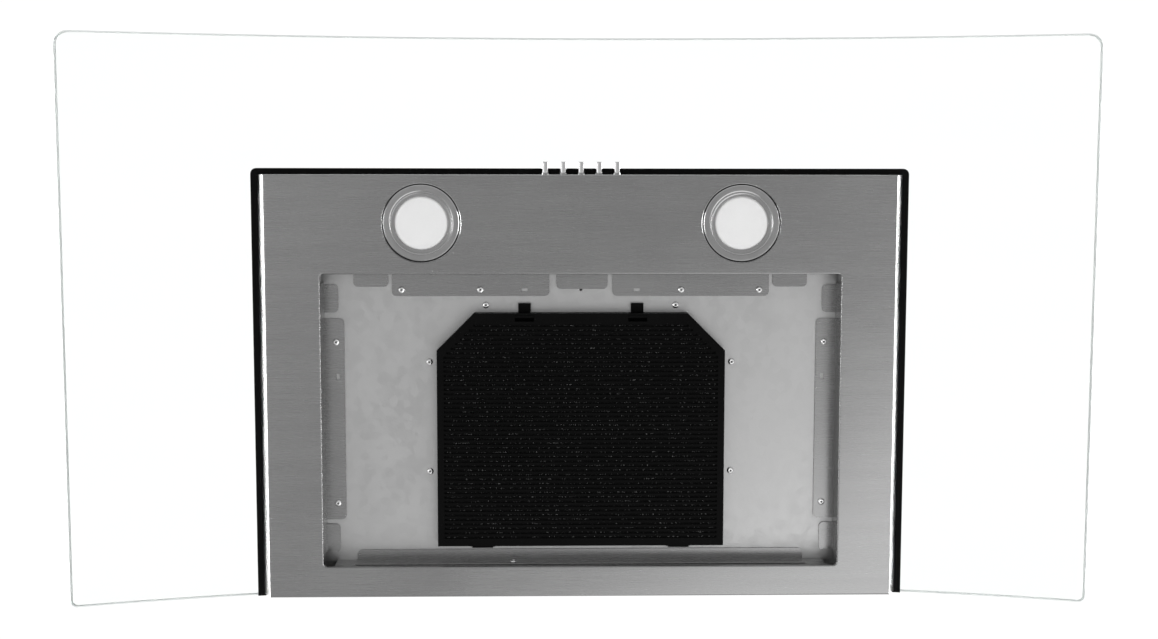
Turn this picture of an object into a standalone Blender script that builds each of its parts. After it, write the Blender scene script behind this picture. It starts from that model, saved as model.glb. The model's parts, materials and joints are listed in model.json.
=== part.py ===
"""Wall-mounted range hood: a stainless body under an arched glass canopy, with a telescopic chimney.

Metres, +Z up, the wall at y = 0 and the cook towards -Y.
The origin is the middle of the wall hanger's rear face.
Heights called "up" are measured from the body's underside.
"""

import math

import bmesh
import bpy
from mathutils import Matrix, Vector

# Clearances
GAP = 0.0003            # between pieces that touch
LOOSE = 0.0015          # between pieces that slide past each other
SHEET = 0.001           # steel sheet
BEND_STEPS = 4

# Glass canopy
GLASS_WIDTH = 0.900
GLASS_DEPTH = 0.502
GLASS_THICK = 0.006
GLASS_SAG = 0.0667      # how far the side edges hang below the crown
GLASS_FRONT_CORNER = 0.012
GLASS_REAR_CORNER = 0.006
GLASS_FACETS = 40
HOLE_ROOM = 0.009       # round the blower box, where it rises through the glass
CLAMP_REACH = 0.010

# Body: a shallow pan with a filter opening in its underside
PAN_FLAT_WIDTH = 0.554
PAN_BEND = 0.002        # outer radius of the bends round the underside
PAN_FLARE_DEG = 26      # how far the side walls lean out
PAN_DEPTH = 0.380       # from the wall to the front face
PAN_REAR = 0.0025       # from the wall to the rear face
PAN_TOP_FLANGE = 0.010
OPENING_WIDTH = 0.460
OPENING_DEPTH = 0.2623
OPENING_REAR = 0.0303   # from the wall
OPENING_CORNER = 0.003
OPENING_EDGE = 0.0013   # outer radius of the bend round the opening
PLATE_UP = 0.0263       # inner plate's underside
GLASS_OVER_PLATE = 0.0013
GASKET_THICK = 0.0024
GASKET_WIDTH = 0.012
GASKET_PROUD = 0.0055
GASKET_CORNER = 0.005
COVER_THICK = 0.0007    # of the sheet that hides the body's inside from above

# Tabs that turn in from the opening's walls to carry the inner plate: (centre, length, reach)
FRONT_TABS = [(-0.0988, 0.141, 0.0211), (0.0988, 0.141, 0.0211), (0.001, 0.046, 0.0148)]    # from the middle
CORNER_TAB = (0.042, 0.031, 0.0128)     # on the front wall, from each side wall
SIDE_TAB = (0.0017, 0.183, 0.0175)      # from the opening's middle
SIDE_FRONT_TAB = (0.0234, 0.025, 0.0125)    # from the front wall
SIDE_REAR_TAB = (0.0207, 0.026, 0.0120)     # from the rear wall
TAB_CORNER = 0.004
CORNER_RELIEF = 0.009
TAB_SLOT_LONG = 0.0055
TAB_SLOT_WIDE = 0.0030
FRONT_SLOT = (0.0503, 0.0158)   # from the middle, and from the front wall
SIDE_SLOT = (0.0117, -0.0372)   # from the side wall, and from the opening's middle

# Rivets, each mirrored to the other side
FRONT_RIVETS = [0.1606, 0.0902]     # from the middle
FRONT_RIVET_IN = 0.0155             # from the front wall
SIDE_RIVETS = [-0.0686, 0.0783]     # from the opening's middle
SIDE_RIVET_IN = 0.0103              # from the side wall
BOX_FRONT_RIVET = (0.0853, 0.0064)  # from the middle, and from the blower box's front
BOX_SIDE_RIVETS = [0.1663, 0.0665]  # from the blower box's rear
BOX_RIVET_OUT = 0.0073              # from the blower box's side
RIVET_HEAD_R = 0.0030
RIVET_HEAD_HIGH = 0.0012
RIVET_SHANK_R = 0.0016
RIVET_ROOM = 0.000405    # between a rivet's tail and the sheet under the glass
RIVET_STEPS = 10
WITNESS_HOLE_R = 0.0013

# Rear ledge for the grease filters
RAIL_END_ROOM = 0.027   # from the rail's end to the side wall
RAIL_FLANGE = 0.0095
RAIL_CORNER = 0.0045
RAIL_LEG = 0.019
RAIL_RIVET_X = -0.061
RAIL_RIVET_UP = 0.005   # from the leg's lower edge

# Lamps
LAMP_X = 0.1406
LAMP_Y = -0.3376
LAMP_RIM_R = 0.0353
LAMP_HOLE_R = 0.0300
LAMP_CAN_R = 0.0280
LAMP_CAN_HIGH = 0.0240
LAMP_LENS_R = 0.0230
LAMP_SLOPE_R = 0.0266   # inner edge of the bezel's sloped ring
LAMP_RECESS = 0.0020
LAMP_PROUD = 0.0028
LAMP_LIP = 0.0008
LAMP_GROOVE = 0.0010
LAMP_STEPS = 32

# Push buttons
BUTTON_NAMES = ["off", "low", "medium", "high", "light"]
BUTTON_PITCH = 0.016
BUTTON_R = 0.0032
BUTTON_PROUD = 0.0115
BUTTON_TRAVEL = 0.003
BUTTON_UP = 0.023
BUTTON_STEM_R = 0.002
SWITCH_BEHIND = 0.005   # from the front face's inside to the switch block
SWITCH_DEEP = 0.026
SWITCH_HIGH = 0.026
SWITCH_SIDE = 0.011     # past the outer buttons

# Charcoal filter cassette
FILTER_WIDTH = 0.2580
FILTER_DEPTH = 0.2113
FILTER_REAR = 0.0455
FILTER_CHAMFER = 0.0335
FILTER_THICK = 0.012
FILTER_BORDER = 0.006
FILTER_WALL = 0.0016
SLAT_PITCH = 0.00405
SLAT_WIDTH = 0.0019
PAD_THICK = 0.0074
HOOK_X = 0.089
HOOK_WIDTH = 0.0188
HOOK_REACH = 0.0033     # hook's leg, out from the cassette's rear edge
HOOK_TIP = 0.003        # hook's tip, over the inner plate
LATCH_X = 0.0506
LATCH_WIDTH = 0.0112
LATCH_TONGUE = 0.0025
LATCH_BASE_WIDTH = 0.0164
LATCH_BASE_LONG = 0.0022
LATCH_PROUD = 0.0083
LATCH_TRAVEL = 0.003

# Blower
BOX_FLANGE = 0.0155
BOX_HIGH = 0.215
WHEEL_R = 0.070
WHEEL_HALF = 0.048
WHEEL_BLADES = 16
WHEEL_HUB_R = 0.012
SHAFT_R = 0.004
SHAFT_END = 0.016       # past the middle of the wheel
BLADE_DEEP = 0.012
WHEEL_IN = 0.0995       # wheel's middle, in front of the charcoal filter's rear edge
TONGUE_ROOM = 0.009     # from the wheel to the scroll's tongue
SCROLL_ROOM = 0.031     # from the wheel to the scroll at its widest
SCROLL_FOOT_ROOM = 0.008        # under the scroll
SCROLL_TONGUE_DEG = 50
SCROLL_HALF = 0.056
MOTOR_R = 0.040
MOTOR_LONG = 0.046
COLLAR_R = 0.075
COLLAR_HIGH = 0.045
COLLAR_LIP = 0.0035
FLAP_THICK = 0.001
PIN_R = 0.0015
SLEEVE_SHARE = 0.8      # of the flap's width

# Wall hanger
HANGER_UP = 0.160       # its middle, above the blower box's foot
HANGER_HIGH = 0.060
HANGER_HALF = 0.100
KEYHOLE_X = 0.070

# Chimney
CHIMNEY_SIDE_ROOM = 0.0310      # from the blower box's side to the chimney's
CHIMNEY_FRONT_ROOM = 0.0242     # from the blower box's front to the chimney's
CHIMNEY_LIP = 0.015
CHIMNEY_TOP = 0.480
UPPER_LENGTH = 0.420
UPPER_SHOWS = 0.015     # how far the upper chimney stands out of the lower one when lowered
VENT_SLOTS = 8
VENT_LONG = 0.110
VENT_HIGH = 0.0035
VENT_PITCH = 0.012

# What follows from the sizes above
RAIL_LENGTH = OPENING_WIDTH - 2 * RAIL_END_ROOM
GLASS_R = (GLASS_WIDTH ** 2 / 4 + GLASS_SAG ** 2) / (2 * GLASS_SAG)   # of the glass's underside
PLATE_WIDTH = OPENING_WIDTH + 3 * SHEET
PLATE_DEPTH = OPENING_DEPTH + 3 * SHEET
OPENING_FRONT_Y = -OPENING_REAR - OPENING_DEPTH
OPENING_MID_Y = -OPENING_REAR - OPENING_DEPTH / 2
FILTER_FRONT_Y = -FILTER_REAR - FILTER_DEPTH
SCROLL_TONGUE_R = WHEEL_R + TONGUE_ROOM
SCROLL_LARGE_R = WHEEL_R + SCROLL_ROOM
INLET_R = WHEEL_R - BLADE_DEEP
CHIMNEY_WIDTH = FILTER_WIDTH + 2 * CHIMNEY_SIDE_ROOM
CHIMNEY_DEPTH = CHIMNEY_FRONT_ROOM - FILTER_FRONT_Y
TAB_RIVETS = ([(x, OPENING_FRONT_Y + FRONT_RIVET_IN) for x in FRONT_RIVETS]
              + [(OPENING_WIDTH / 2 - SIDE_RIVET_IN, OPENING_MID_Y + y) for y in SIDE_RIVETS])
BLOWER_RIVETS = ([(BOX_FRONT_RIVET[0], FILTER_FRONT_Y - BOX_FRONT_RIVET[1])]
                 + [(FILTER_WIDTH / 2 + BOX_RIVET_OUT, -FILTER_REAR - y) for y in BOX_SIDE_RIVETS])


def arch_drop(x):
    """How far the glass's underside lies below its crown at x."""
    return GLASS_R - math.sqrt(GLASS_R ** 2 - x ** 2)


def rivet_tail():
    """How far a rivet's shank stands above the inner plate, under the sheet below the glass."""
    outermost = max(x for x, y in TAB_RIVETS) + RIVET_SHANK_R
    over_plate = GLASS_OVER_PLATE + arch_drop(PLATE_WIDTH / 2) - arch_drop(outermost)
    return over_plate - GAP - COVER_THICK - RIVET_ROOM


RIVET_SHANK_LONG = 2 * SHEET + 2 * GAP + rivet_tail()
CROWN_UP = PLATE_UP + SHEET + GLASS_OVER_PLATE + arch_drop(PLATE_WIDTH / 2)
UNDERSIDE = -(PLATE_UP + SHEET + GAP + HANGER_UP)
PLATE_Z = UNDERSIDE + PLATE_UP
CROWN_Z = UNDERSIDE + CROWN_UP
ARCH_CENTRE_Z = CROWN_Z - GLASS_R
FILTER_TOP_Z = PLATE_Z - GAP
FILTER_FACE_Z = FILTER_TOP_Z - FILTER_THICK
FILTER_PIVOT = (0, -FILTER_REAR + HOOK_REACH + GAP / 2, PLATE_Z + SHEET / 2)
LATCH_TONGUE_Z = FILTER_TOP_Z - LATCH_TONGUE - GAP
BOX_FOOT_Z = PLATE_Z + SHEET + GAP
BOX_TOP_Z = BOX_FOOT_Z + BOX_HIGH
WHEEL_Y = -FILTER_REAR - WHEEL_IN
WHEEL_Z = BOX_FOOT_Z + SCROLL_FOOT_ROOM + SCROLL_LARGE_R
COLLAR_Y = WHEEL_Y - (SCROLL_LARGE_R - SCROLL_TONGUE_R * math.cos(math.radians(SCROLL_TONGUE_DEG))) / 2
COLLAR_Z = BOX_TOP_Z + GAP
CHIMNEY_TOP_Z = UNDERSIDE + CHIMNEY_TOP
PIN_Z = COLLAR_Z + 0.0103
SLEEVE_R = PIN_R + GAP + SHEET
PIN_X = SLEEVE_R + LOOSE / 2
SHAFT_HOLE_R = SHAFT_R + GAP
RIVET_PROFILE = [(0, -RIVET_HEAD_HIGH), (RIVET_HEAD_R * 0.6, -RIVET_HEAD_HIGH), (RIVET_HEAD_R, -GAP),
                 (RIVET_HEAD_R, 0),
                 (RIVET_SHANK_R, 0), (RIVET_SHANK_R, RIVET_SHANK_LONG), (0, RIVET_SHANK_LONG)]

FINISHES = {
    "stainless": ((0.36, 0.36, 0.36), 1.0, 0.32),
    "galvanised": ((0.60, 0.60, 0.60), 0.9, 0.42),
    "chrome": ((0.80, 0.80, 0.80), 1.0, 0.10),
    "aluminium": ((0.78, 0.78, 0.78), 1.0, 0.30),
    "glass": ((0.92, 0.96, 0.95), 0.0, 0.02),
    "lens": ((0.86, 0.86, 0.85), 0.0, 0.45),
    "rubber": ((0.012, 0.012, 0.012), 0.0, 0.60),
    "black_plastic": ((0.015, 0.015, 0.015), 0.0, 0.45),
    "grey_plastic": ((0.45, 0.45, 0.45), 0.0, 0.50),
    "charcoal": ((0.010, 0.010, 0.010), 0.0, 0.90),
}


def material(name, finish):
    """A Principled material of the object's own, in one of the finishes."""
    colour, metallic, roughness = FINISHES[finish]
    made = bpy.data.materials.new(name)
    made.use_nodes = True
    shader = made.node_tree.nodes["Principled BSDF"]
    shader.inputs["Base Color"].default_value = (*colour, 1)
    shader.inputs["Metallic"].default_value = metallic
    shader.inputs["Roughness"].default_value = roughness
    if finish == "glass":
        shader.inputs["Transmission Weight"].default_value = 1
    return made


def solid(name, bm, finish=None):
    """Makes the object from bm; with no finish it is a helper for a Boolean."""
    bmesh.ops.recalc_face_normals(bm, faces=bm.faces)
    mesh = bpy.data.meshes.new(name)
    bm.to_mesh(mesh)
    bm.free()
    made = bpy.data.objects.new(name, mesh)
    bpy.context.scene.collection.objects.link(made)
    if finish:
        mesh.materials.append(material(name, finish))
    else:
        made.hide_render = True
        made.display_type = "WIRE"
    return made


def place(a, b, along, axis):
    """The point (a, b) of an outline, at that distance along the axis.

    X takes (y, z), Y takes (x, z) and Z takes (x, y).
    """
    return {"X": (along, a, b), "Y": (a, along, b), "Z": (a, b, along)}[axis]


def add_prism(bm, outline, low, high, axis="Z"):
    """An outline of points, extruded from low to high along the axis."""
    verts = [bm.verts.new(place(a, b, low, axis)) for a, b in outline]
    face = bm.faces.new(verts)
    raised = bmesh.ops.extrude_face_region(bm, geom=[face])["geom"]
    top = [v for v in raised if isinstance(v, bmesh.types.BMVert)]
    bmesh.ops.translate(bm, verts=top, vec=Vector(place(0, 0, high - low, axis)))


def add_box(bm, low, high):
    """A box between two corners."""
    size = Vector(high) - Vector(low)
    middle = (Vector(high) + Vector(low)) / 2
    bmesh.ops.create_cube(bm, size=1, matrix=Matrix.Translation(middle) @ Matrix.Diagonal((*size, 1)))


def add_turned(bm, profile, centre, steps, axis="Z"):
    """A closed profile of (radius, height) points, spun about the axis through centre."""
    verts = [bm.verts.new((radius, 0, height)) for radius, height in profile]
    edges = [bm.edges.new((verts[i - 1], verts[i])) for i in range(len(verts))]
    spun = bmesh.ops.spin(bm, geom=verts + edges, axis=(0, 0, 1), cent=(0, 0, 0), dvec=(0, 0, 0),
                          angle=math.tau, steps=steps, use_merge=True)
    reached = set(verts)
    grown = list(verts)
    while grown:
        vert = grown.pop()
        for edge in vert.link_edges:
            other = edge.other_vert(vert)
            if other not in reached:
                reached.add(other)
                grown.append(other)
    bmesh.ops.remove_doubles(bm, verts=list(reached), dist=1e-6)
    turn = {"X": Matrix.Rotation(math.pi / 2, 4, "Y"), "Y": Matrix.Rotation(-math.pi / 2, 4, "X"),
            "Z": Matrix()}
    bmesh.ops.transform(bm, matrix=Matrix.Translation(centre) @ turn[axis],
                        verts=[v for v in reached if v.is_valid])
    return spun


def prism(name, outline, low, high, axis="Z", finish=None):
    bm = bmesh.new()
    add_prism(bm, outline, low, high, axis)
    return solid(name, bm, finish)


def boxes(name, corners, finish=None):
    """One object of several boxes, each (low corner, high corner)."""
    bm = bmesh.new()
    for low, high in corners:
        add_box(bm, low, high)
    return solid(name, bm, finish)


def turned(name, profile, centre, steps, axis="Z", finish=None):
    bm = bmesh.new()
    add_turned(bm, profile, centre, steps, axis)
    return solid(name, bm, finish)


def rods(name, ends, radius, steps, axis, finish=None):
    """Round rods along the axis, each (centre at its low end, length)."""
    bm = bmesh.new()
    for centre, length in ends:
        add_turned(bm, [(0, 0), (radius, 0), (radius, length), (0, length)], centre, steps, axis)
    return solid(name, bm, finish)


def pivot(made, point):
    """Moves the object's origin to a point on its joint's axis."""
    made.data.transform(Matrix.Translation(-Vector(point)))
    made.location = point
    return made


def attach(child, parent):
    """Parents the child, which stays where it is."""
    child.parent = parent
    child.matrix_parent_inverse = Matrix.Translation(-parent.location)
    return child


def combine(base, other, operation):
    modifier = base.modifiers.new(f"{operation.lower()}_{other.name}", "BOOLEAN")
    modifier.operation = operation
    modifier.object = other
    modifier.solver = "EXACT"
    modifier.use_self = True
    return base


def cut(base, *cutters):
    for cutter in cutters:
        combine(base, cutter, "DIFFERENCE")
    return base


def fuse(base, *others):
    for other in others:
        combine(base, other, "UNION")
    return base


def rounded_rectangle(low, high, corners, steps=4):
    """Outline between two corners; corners are the radii at low-low, high-low, high-high and low-high."""
    centres = [(low[0], low[1], 1, 1), (high[0], low[1], -1, 1), (high[0], high[1], -1, -1),
               (low[0], high[1], 1, -1)]
    outline = []
    for quarter, ((x, y, to_x, to_y), radius) in enumerate(zip(centres, corners)):
        if radius <= 0:
            outline.append((x, y))
            continue
        for step in range(steps + 1):
            angle = math.pi + (quarter + step / steps) * math.pi / 2
            outline.append((x + to_x * radius + radius * math.cos(angle),
                            y + to_y * radius + radius * math.sin(angle)))
    return outline


def centred_rectangle(x, y, width, depth, radius=0.0):
    return rounded_rectangle((x - width / 2, y - depth / 2), (x + width / 2, y + depth / 2), [radius] * 4)


def mirrored(points):
    """Each (x, y) with its mirror image, as (name, x, y)."""
    return [(side, sign * x, y) for x, y in points for side, sign in (("left", -1), ("right", 1))]


def arch_line(offset, half_width, facets=GLASS_FACETS):
    """Points (x, z) across the arch, offset below the glass's underside. Facets line up at any offset."""
    radius = GLASS_R - offset
    widest = math.asin(GLASS_WIDTH / 2 / GLASS_R)
    angles = [widest * (2 * step / facets - 1) for step in range(facets + 1)]
    line = [(radius * math.sin(angle), ARCH_CENTRE_Z + radius * math.cos(angle)) for angle in angles]
    kept = [point for point in line if abs(point[0]) < half_width - 1e-6]
    if len(kept) == len(line):
        return line
    first = line.index(kept[0])
    (x0, z0), (x1, z1) = line[first - 1], line[first]
    edge_z = z0 + (z1 - z0) * (-half_width - x0) / (x1 - x0)
    return [(-half_width, edge_z), *kept, (half_width, edge_z)]


def arch_slab(name, low_offset, high_offset, front_y, rear_y, finish=None):
    """A sheet that follows the arch, between two offsets below the glass's underside."""
    span = GLASS_WIDTH
    outline = arch_line(low_offset, span) + arch_line(high_offset, span)[::-1]
    return prism(name, outline, front_y, rear_y, "Y", finish)


def flank_end(inset):
    """Where the bend under a side wall ends, (x, z), for a face moved in by inset."""
    turn = math.radians(90 - PAN_FLARE_DEG)
    radius = PAN_BEND - inset
    return PAN_FLAT_WIDTH / 2 + radius * math.sin(turn), UNDERSIDE + PAN_BEND - radius * math.cos(turn)


def flank_top(inset):
    """Half width of the pan where its side wall meets the gasket, for a face moved in by inset."""
    x, z = flank_end(inset)
    half = x
    for _ in range(8):
        rise = CROWN_Z - arch_drop(half) - GASKET_THICK - 2 * GAP - inset - z
        half = x + rise * math.tan(math.radians(PAN_FLARE_DEG))
    return half


def body_section(inset):
    """The pan's cross-section, (x, z), moved in by inset from its outer faces."""
    radius = PAN_BEND - inset
    turn = 90 - PAN_FLARE_DEG
    bend = [(PAN_FLAT_WIDTH / 2 + radius * math.sin(angle), UNDERSIDE + PAN_BEND - radius * math.cos(angle))
            for angle in (math.radians(step * turn / BEND_STEPS) for step in range(BEND_STEPS + 1))]
    top = arch_line(GASKET_THICK + 2 * GAP + inset, flank_top(inset))
    return bend + top[::-1] + [(-x, z) for x, z in bend[::-1]]


def body_solid(name, inset, finish=None):
    """The pan's filled outline, moved in by inset, with the front and rear bends cut round."""
    front, rear = -PAN_DEPTH + inset, -PAN_REAR - inset
    made = prism(name, body_section(inset), front, rear, "Y", finish)
    side = rounded_rectangle((front, UNDERSIDE + inset), (rear, CROWN_Z + PAN_DEPTH),
                             [PAN_BEND - inset] * 2 + [0, 0])
    return combine(made, prism(name + "_bends", side, -GLASS_WIDTH, GLASS_WIDTH, "X"), "INTERSECT")


def opening_edge():
    """Cutter that rounds the edge where the underside turns up into the opening's wall."""
    bm = bmesh.new()
    loops = []
    for step in range(-1, BEND_STEPS + 1):
        angle = math.radians(90) * max(step, 0) / BEND_STEPS
        out = OPENING_EDGE * (1 - math.sin(angle))
        z = UNDERSIDE + OPENING_EDGE * (1 - math.cos(angle)) - (SHEET if step < 0 else 0)
        outline = centred_rectangle(0, OPENING_MID_Y, OPENING_WIDTH + 2 * out, OPENING_DEPTH + 2 * out,
                                    OPENING_CORNER + out)
        loops.append([bm.verts.new((x, y, z)) for x, y in outline])
    for low, high in zip(loops, loops[1:]):
        for i in range(len(low)):
            bm.faces.new((low[i - 1], low[i], high[i], high[i - 1]))
    bm.faces.new(loops[0])
    bm.faces.new(loops[-1])
    return solid("opening_edge", bm)


def tab_outlines():
    """Plan outlines of the tabs; each starts inside the opening's wall."""
    root = SHEET / 2
    half = OPENING_WIDTH / 2
    from_side, long, reach = CORNER_TAB
    corner_tabs = [(side * (half - from_side), long, reach) for side in (-1, 1)]
    outlines = []
    for middle, length, reach in FRONT_TABS + corner_tabs:
        low = (middle - length / 2, OPENING_FRONT_Y - root)
        high = (middle + length / 2, OPENING_FRONT_Y + reach)
        outlines.append(rounded_rectangle(low, high, [0, 0, TAB_CORNER, TAB_CORNER]))
    side_tabs = [(OPENING_MID_Y + SIDE_TAB[0], *SIDE_TAB[1:]),
                 (OPENING_FRONT_Y + SIDE_FRONT_TAB[0], *SIDE_FRONT_TAB[1:]),
                 (-OPENING_REAR - SIDE_REAR_TAB[0], *SIDE_REAR_TAB[1:])]
    for middle, length, reach in side_tabs:
        low = (-half - root, middle - length / 2)
        high = (-half + reach, middle + length / 2)
        left = rounded_rectangle(low, high, [0, TAB_CORNER, TAB_CORNER, 0])
        outlines += [left, [(-x, y) for x, y in left[::-1]]]
    return outlines


def tab_slots():
    """Plan outlines of the small slots through the tabs."""
    front = (FRONT_SLOT[0], OPENING_FRONT_Y + FRONT_SLOT[1], TAB_SLOT_LONG, TAB_SLOT_WIDE)
    side = (OPENING_WIDTH / 2 - SIDE_SLOT[0], OPENING_MID_Y + SIDE_SLOT[1], TAB_SLOT_WIDE, TAB_SLOT_LONG)
    return [centred_rectangle(sign * x, y, width, depth) for x, y, width,
            depth in (front, side) for sign in (-1, 1)]


def body_pan():
    pan = body_solid("body_pan", 0, "stainless")
    inside = body_solid("pan_inside", SHEET)
    flange_x = flank_top(0) - PAN_TOP_FLANGE
    mouth = boxes("pan_mouth", [((-flange_x, -PAN_DEPTH + PAN_TOP_FLANGE, UNDERSIDE + 3 * SHEET),
                                 (flange_x, -PAN_REAR - PAN_TOP_FLANGE, CROWN_Z + SHEET))])
    wall = prism("opening_wall", centred_rectangle(0, OPENING_MID_Y, OPENING_WIDTH + 2 * SHEET,
                                                   OPENING_DEPTH + 2 * SHEET, OPENING_CORNER + SHEET),
                 UNDERSIDE + SHEET / 2, PLATE_Z - GAP)

    holes = bmesh.new()
    add_prism(holes, centred_rectangle(0, OPENING_MID_Y, OPENING_WIDTH, OPENING_DEPTH, OPENING_CORNER),
              UNDERSIDE - SHEET, PLATE_Z + SHEET)
    for side in (-1, 1):
        add_turned(holes, [(0, -SHEET), (LAMP_HOLE_R, -SHEET), (LAMP_HOLE_R, 2 * SHEET), (0, 2 * SHEET)],
                   (side * LAMP_X, LAMP_Y, UNDERSIDE), LAMP_STEPS)
    for number in range(len(BUTTON_NAMES)):
        radius = BUTTON_R + 2 * GAP
        add_turned(holes, [(0, -SHEET), (radius, -SHEET), (radius, 2 * SHEET), (0, 2 * SHEET)],
                   (button_x(number), -PAN_DEPTH, UNDERSIDE + BUTTON_UP), 16, "Y")
    add_turned(holes, [(0, 0), (RIVET_SHANK_R + GAP, 0), (RIVET_SHANK_R + GAP, 6 * SHEET), (0, 6 * SHEET)],
               (RAIL_RIVET_X, -OPENING_REAR - 3 * SHEET, rail_rivet_z()), RIVET_STEPS, "Y")
    openings = solid("pan_openings", holes)

    bm = bmesh.new()
    for outline in tab_outlines():
        add_prism(bm, outline, PLATE_Z - GAP - SHEET, PLATE_Z - GAP)
    tabs = solid("pan_tabs", bm)

    bm = bmesh.new()
    for x in (-1, 1):
        for y in (OPENING_FRONT_Y, -OPENING_REAR):
            corner = (x * OPENING_WIDTH / 2, y)
            add_prism(bm, centred_rectangle(*corner, 2 * CORNER_RELIEF, 2 * CORNER_RELIEF),
                      UNDERSIDE + 4 * SHEET, PLATE_Z + SHEET)
    for _, x, y in mirrored(TAB_RIVETS):
        add_prism(bm, ring(x, y, RIVET_SHANK_R + GAP), PLATE_Z - 3 * SHEET, PLATE_Z + SHEET)
    for slot in tab_slots():
        add_prism(bm, slot, PLATE_Z - 3 * SHEET, PLATE_Z + SHEET)
    reliefs = solid("pan_reliefs", bm)
    cut(pan, inside, mouth)
    fuse(pan, wall)
    cut(pan, openings, opening_edge())
    fuse(pan, tabs)
    return cut(pan, reliefs)


def ring(x, y, radius, steps=RIVET_STEPS):
    """A round outline."""
    return [(x + radius * math.cos(math.tau * step / steps), y + radius * math.sin(math.tau * step / steps))
            for step in range(steps)]


def cassette_outline(inset):
    """The charcoal filter's outline: a rectangle with its two front corners cut off, moved in by inset."""
    half = FILTER_WIDTH / 2 - inset
    rear = -FILTER_REAR - inset
    front = FILTER_FRONT_Y + inset
    corner = FILTER_CHAMFER - inset * (2 - math.sqrt(2))
    return [(-half, rear), (-half, front + corner), (-half + corner, front),
            (half - corner, front), (half, front + corner), (half, rear)]


def inner_plate():
    plate = prism("inner_plate", centred_rectangle(0, OPENING_MID_Y, PLATE_WIDTH, PLATE_DEPTH),
                  PLATE_Z, PLATE_Z + SHEET, "Z", "galvanised")
    bm = bmesh.new()
    low, high = PLATE_Z - SHEET, PLATE_Z + 2 * SHEET
    add_prism(bm, cassette_outline(FILTER_BORDER + 2 * FILTER_WALL), low, high)
    add_prism(bm, ring(0, TAB_RIVETS[0][1], WITNESS_HOLE_R), low, high)
    for _, x, y in mirrored(TAB_RIVETS + BLOWER_RIVETS):
        add_prism(bm, ring(x, y, RIVET_SHANK_R + GAP), low, high)
    for side in (-1, 1):
        add_prism(bm, hook_slot(side, -FILTER_REAR + HOOK_REACH + GAP), low, high)
    return cut(plate, solid("plate_holes", bm))


def hook_slot(side, rear):
    """Outline of the slot that one of the charcoal filter's hooks passes through."""
    half = HOOK_WIDTH / 2 + LOOSE
    return rounded_rectangle((side * HOOK_X - half, -FILTER_REAR - 2 * LOOSE), (side * HOOK_X + half, rear),
                             [0] * 4)


def rail_rivet_z():
    return PLATE_Z - RAIL_LEG + RAIL_RIVET_UP


def rear_rail():
    """Angle on the opening's rear wall, where the grease filters rest, with its front corners rounded."""
    top = PLATE_Z - GAP
    rear = -OPENING_REAR - GAP
    front = rear - RAIL_FLANGE
    half = RAIL_LENGTH / 2
    outline = [(rear, top), (front - SHEET, top), (front - SHEET, top - SHEET),
               (rear - SHEET, top - SHEET), (rear - SHEET, top - RAIL_LEG), (rear, top - RAIL_LEG)]
    rail = prism("rear_rail", outline, -half - SHEET, half + SHEET, "X", "stainless")
    corners = [RAIL_CORNER] * 2 + [0] * 2
    plan = prism("rail_plan", rounded_rectangle((-half, front), (half, rear + SHEET), corners),
                 top - RAIL_LEG - SHEET, top + SHEET)
    combine(rail, plan, "INTERSECT")
    face = (RAIL_RIVET_X, rear - SHEET - GAP, rail_rivet_z())
    hole = rods("rail_hole", [((face[0], face[1] - SHEET, face[2]), 4 * SHEET)], RIVET_SHANK_R + GAP,
                RIVET_STEPS, "Y")
    turned("rail_rivet", RIVET_PROFILE, face, RIVET_STEPS, "Y", "aluminium")
    return cut(rail, hole)


def rivets():
    """Blind rivets: a head below, and a shank up through two sheets."""
    for group, places, face in (("tab", TAB_RIVETS, PLATE_Z - GAP - SHEET),
                                ("blower", BLOWER_RIVETS, PLATE_Z)):
        for number, (_, x, y) in enumerate(mirrored(places), start=1):
            turned(f"{group}_rivet_{number}", RIVET_PROFILE, (x, y, face - GAP), RIVET_STEPS, "Z",
                   "aluminium")


def glass_canopy():
    canopy = arch_slab("glass_canopy", 0, -GLASS_THICK, -GLASS_DEPTH, 0, "glass")
    half = GLASS_WIDTH / 2
    low, high = CROWN_Z - 2 * GLASS_SAG, CROWN_Z + GLASS_SAG
    plan = prism("glass_plan", rounded_rectangle((-half, -GLASS_DEPTH), (half, 0),
                                                 [GLASS_FRONT_CORNER] * 2 + [GLASS_REAR_CORNER] * 2), low,
                 high)
    combine(canopy, plan, "INTERSECT")
    return cut(canopy, prism("glass_hole", glass_hole(0), low, high))


def glass_hole(inset):
    """Outline of the cut-out that the blower box rises through, moved in by inset."""
    room = HOLE_ROOM - inset
    return rounded_rectangle((-FILTER_WIDTH / 2 - room, FILTER_FRONT_Y - room),
                             (FILTER_WIDTH / 2 + room, -FILTER_REAR + room), [GLASS_FRONT_CORNER - inset] * 4)


def glass_gasket():
    """Rubber strip between the body and the glass, along the front and both sides."""
    gasket = arch_slab("glass_gasket", GAP + GASKET_THICK, GAP, -PAN_DEPTH - GASKET_PROUD, -GAP, "rubber")
    half = flank_top(0) + GASKET_PROUD
    front = -PAN_DEPTH - GASKET_PROUD
    inner = half - GASKET_WIDTH
    low, high = CROWN_Z - 2 * GLASS_SAG, CROWN_Z + GLASS_SAG
    plan = prism("gasket_plan", rounded_rectangle((-half, front), (half, GASKET_CORNER),
                                                  [GASKET_CORNER, GASKET_CORNER, 0, 0]), low, high)
    hole = boxes("gasket_hole", [((-inner, front + GASKET_WIDTH, low), (inner, GASKET_WIDTH, high))])
    combine(gasket, plan, "INTERSECT")
    return cut(gasket, hole)


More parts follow.
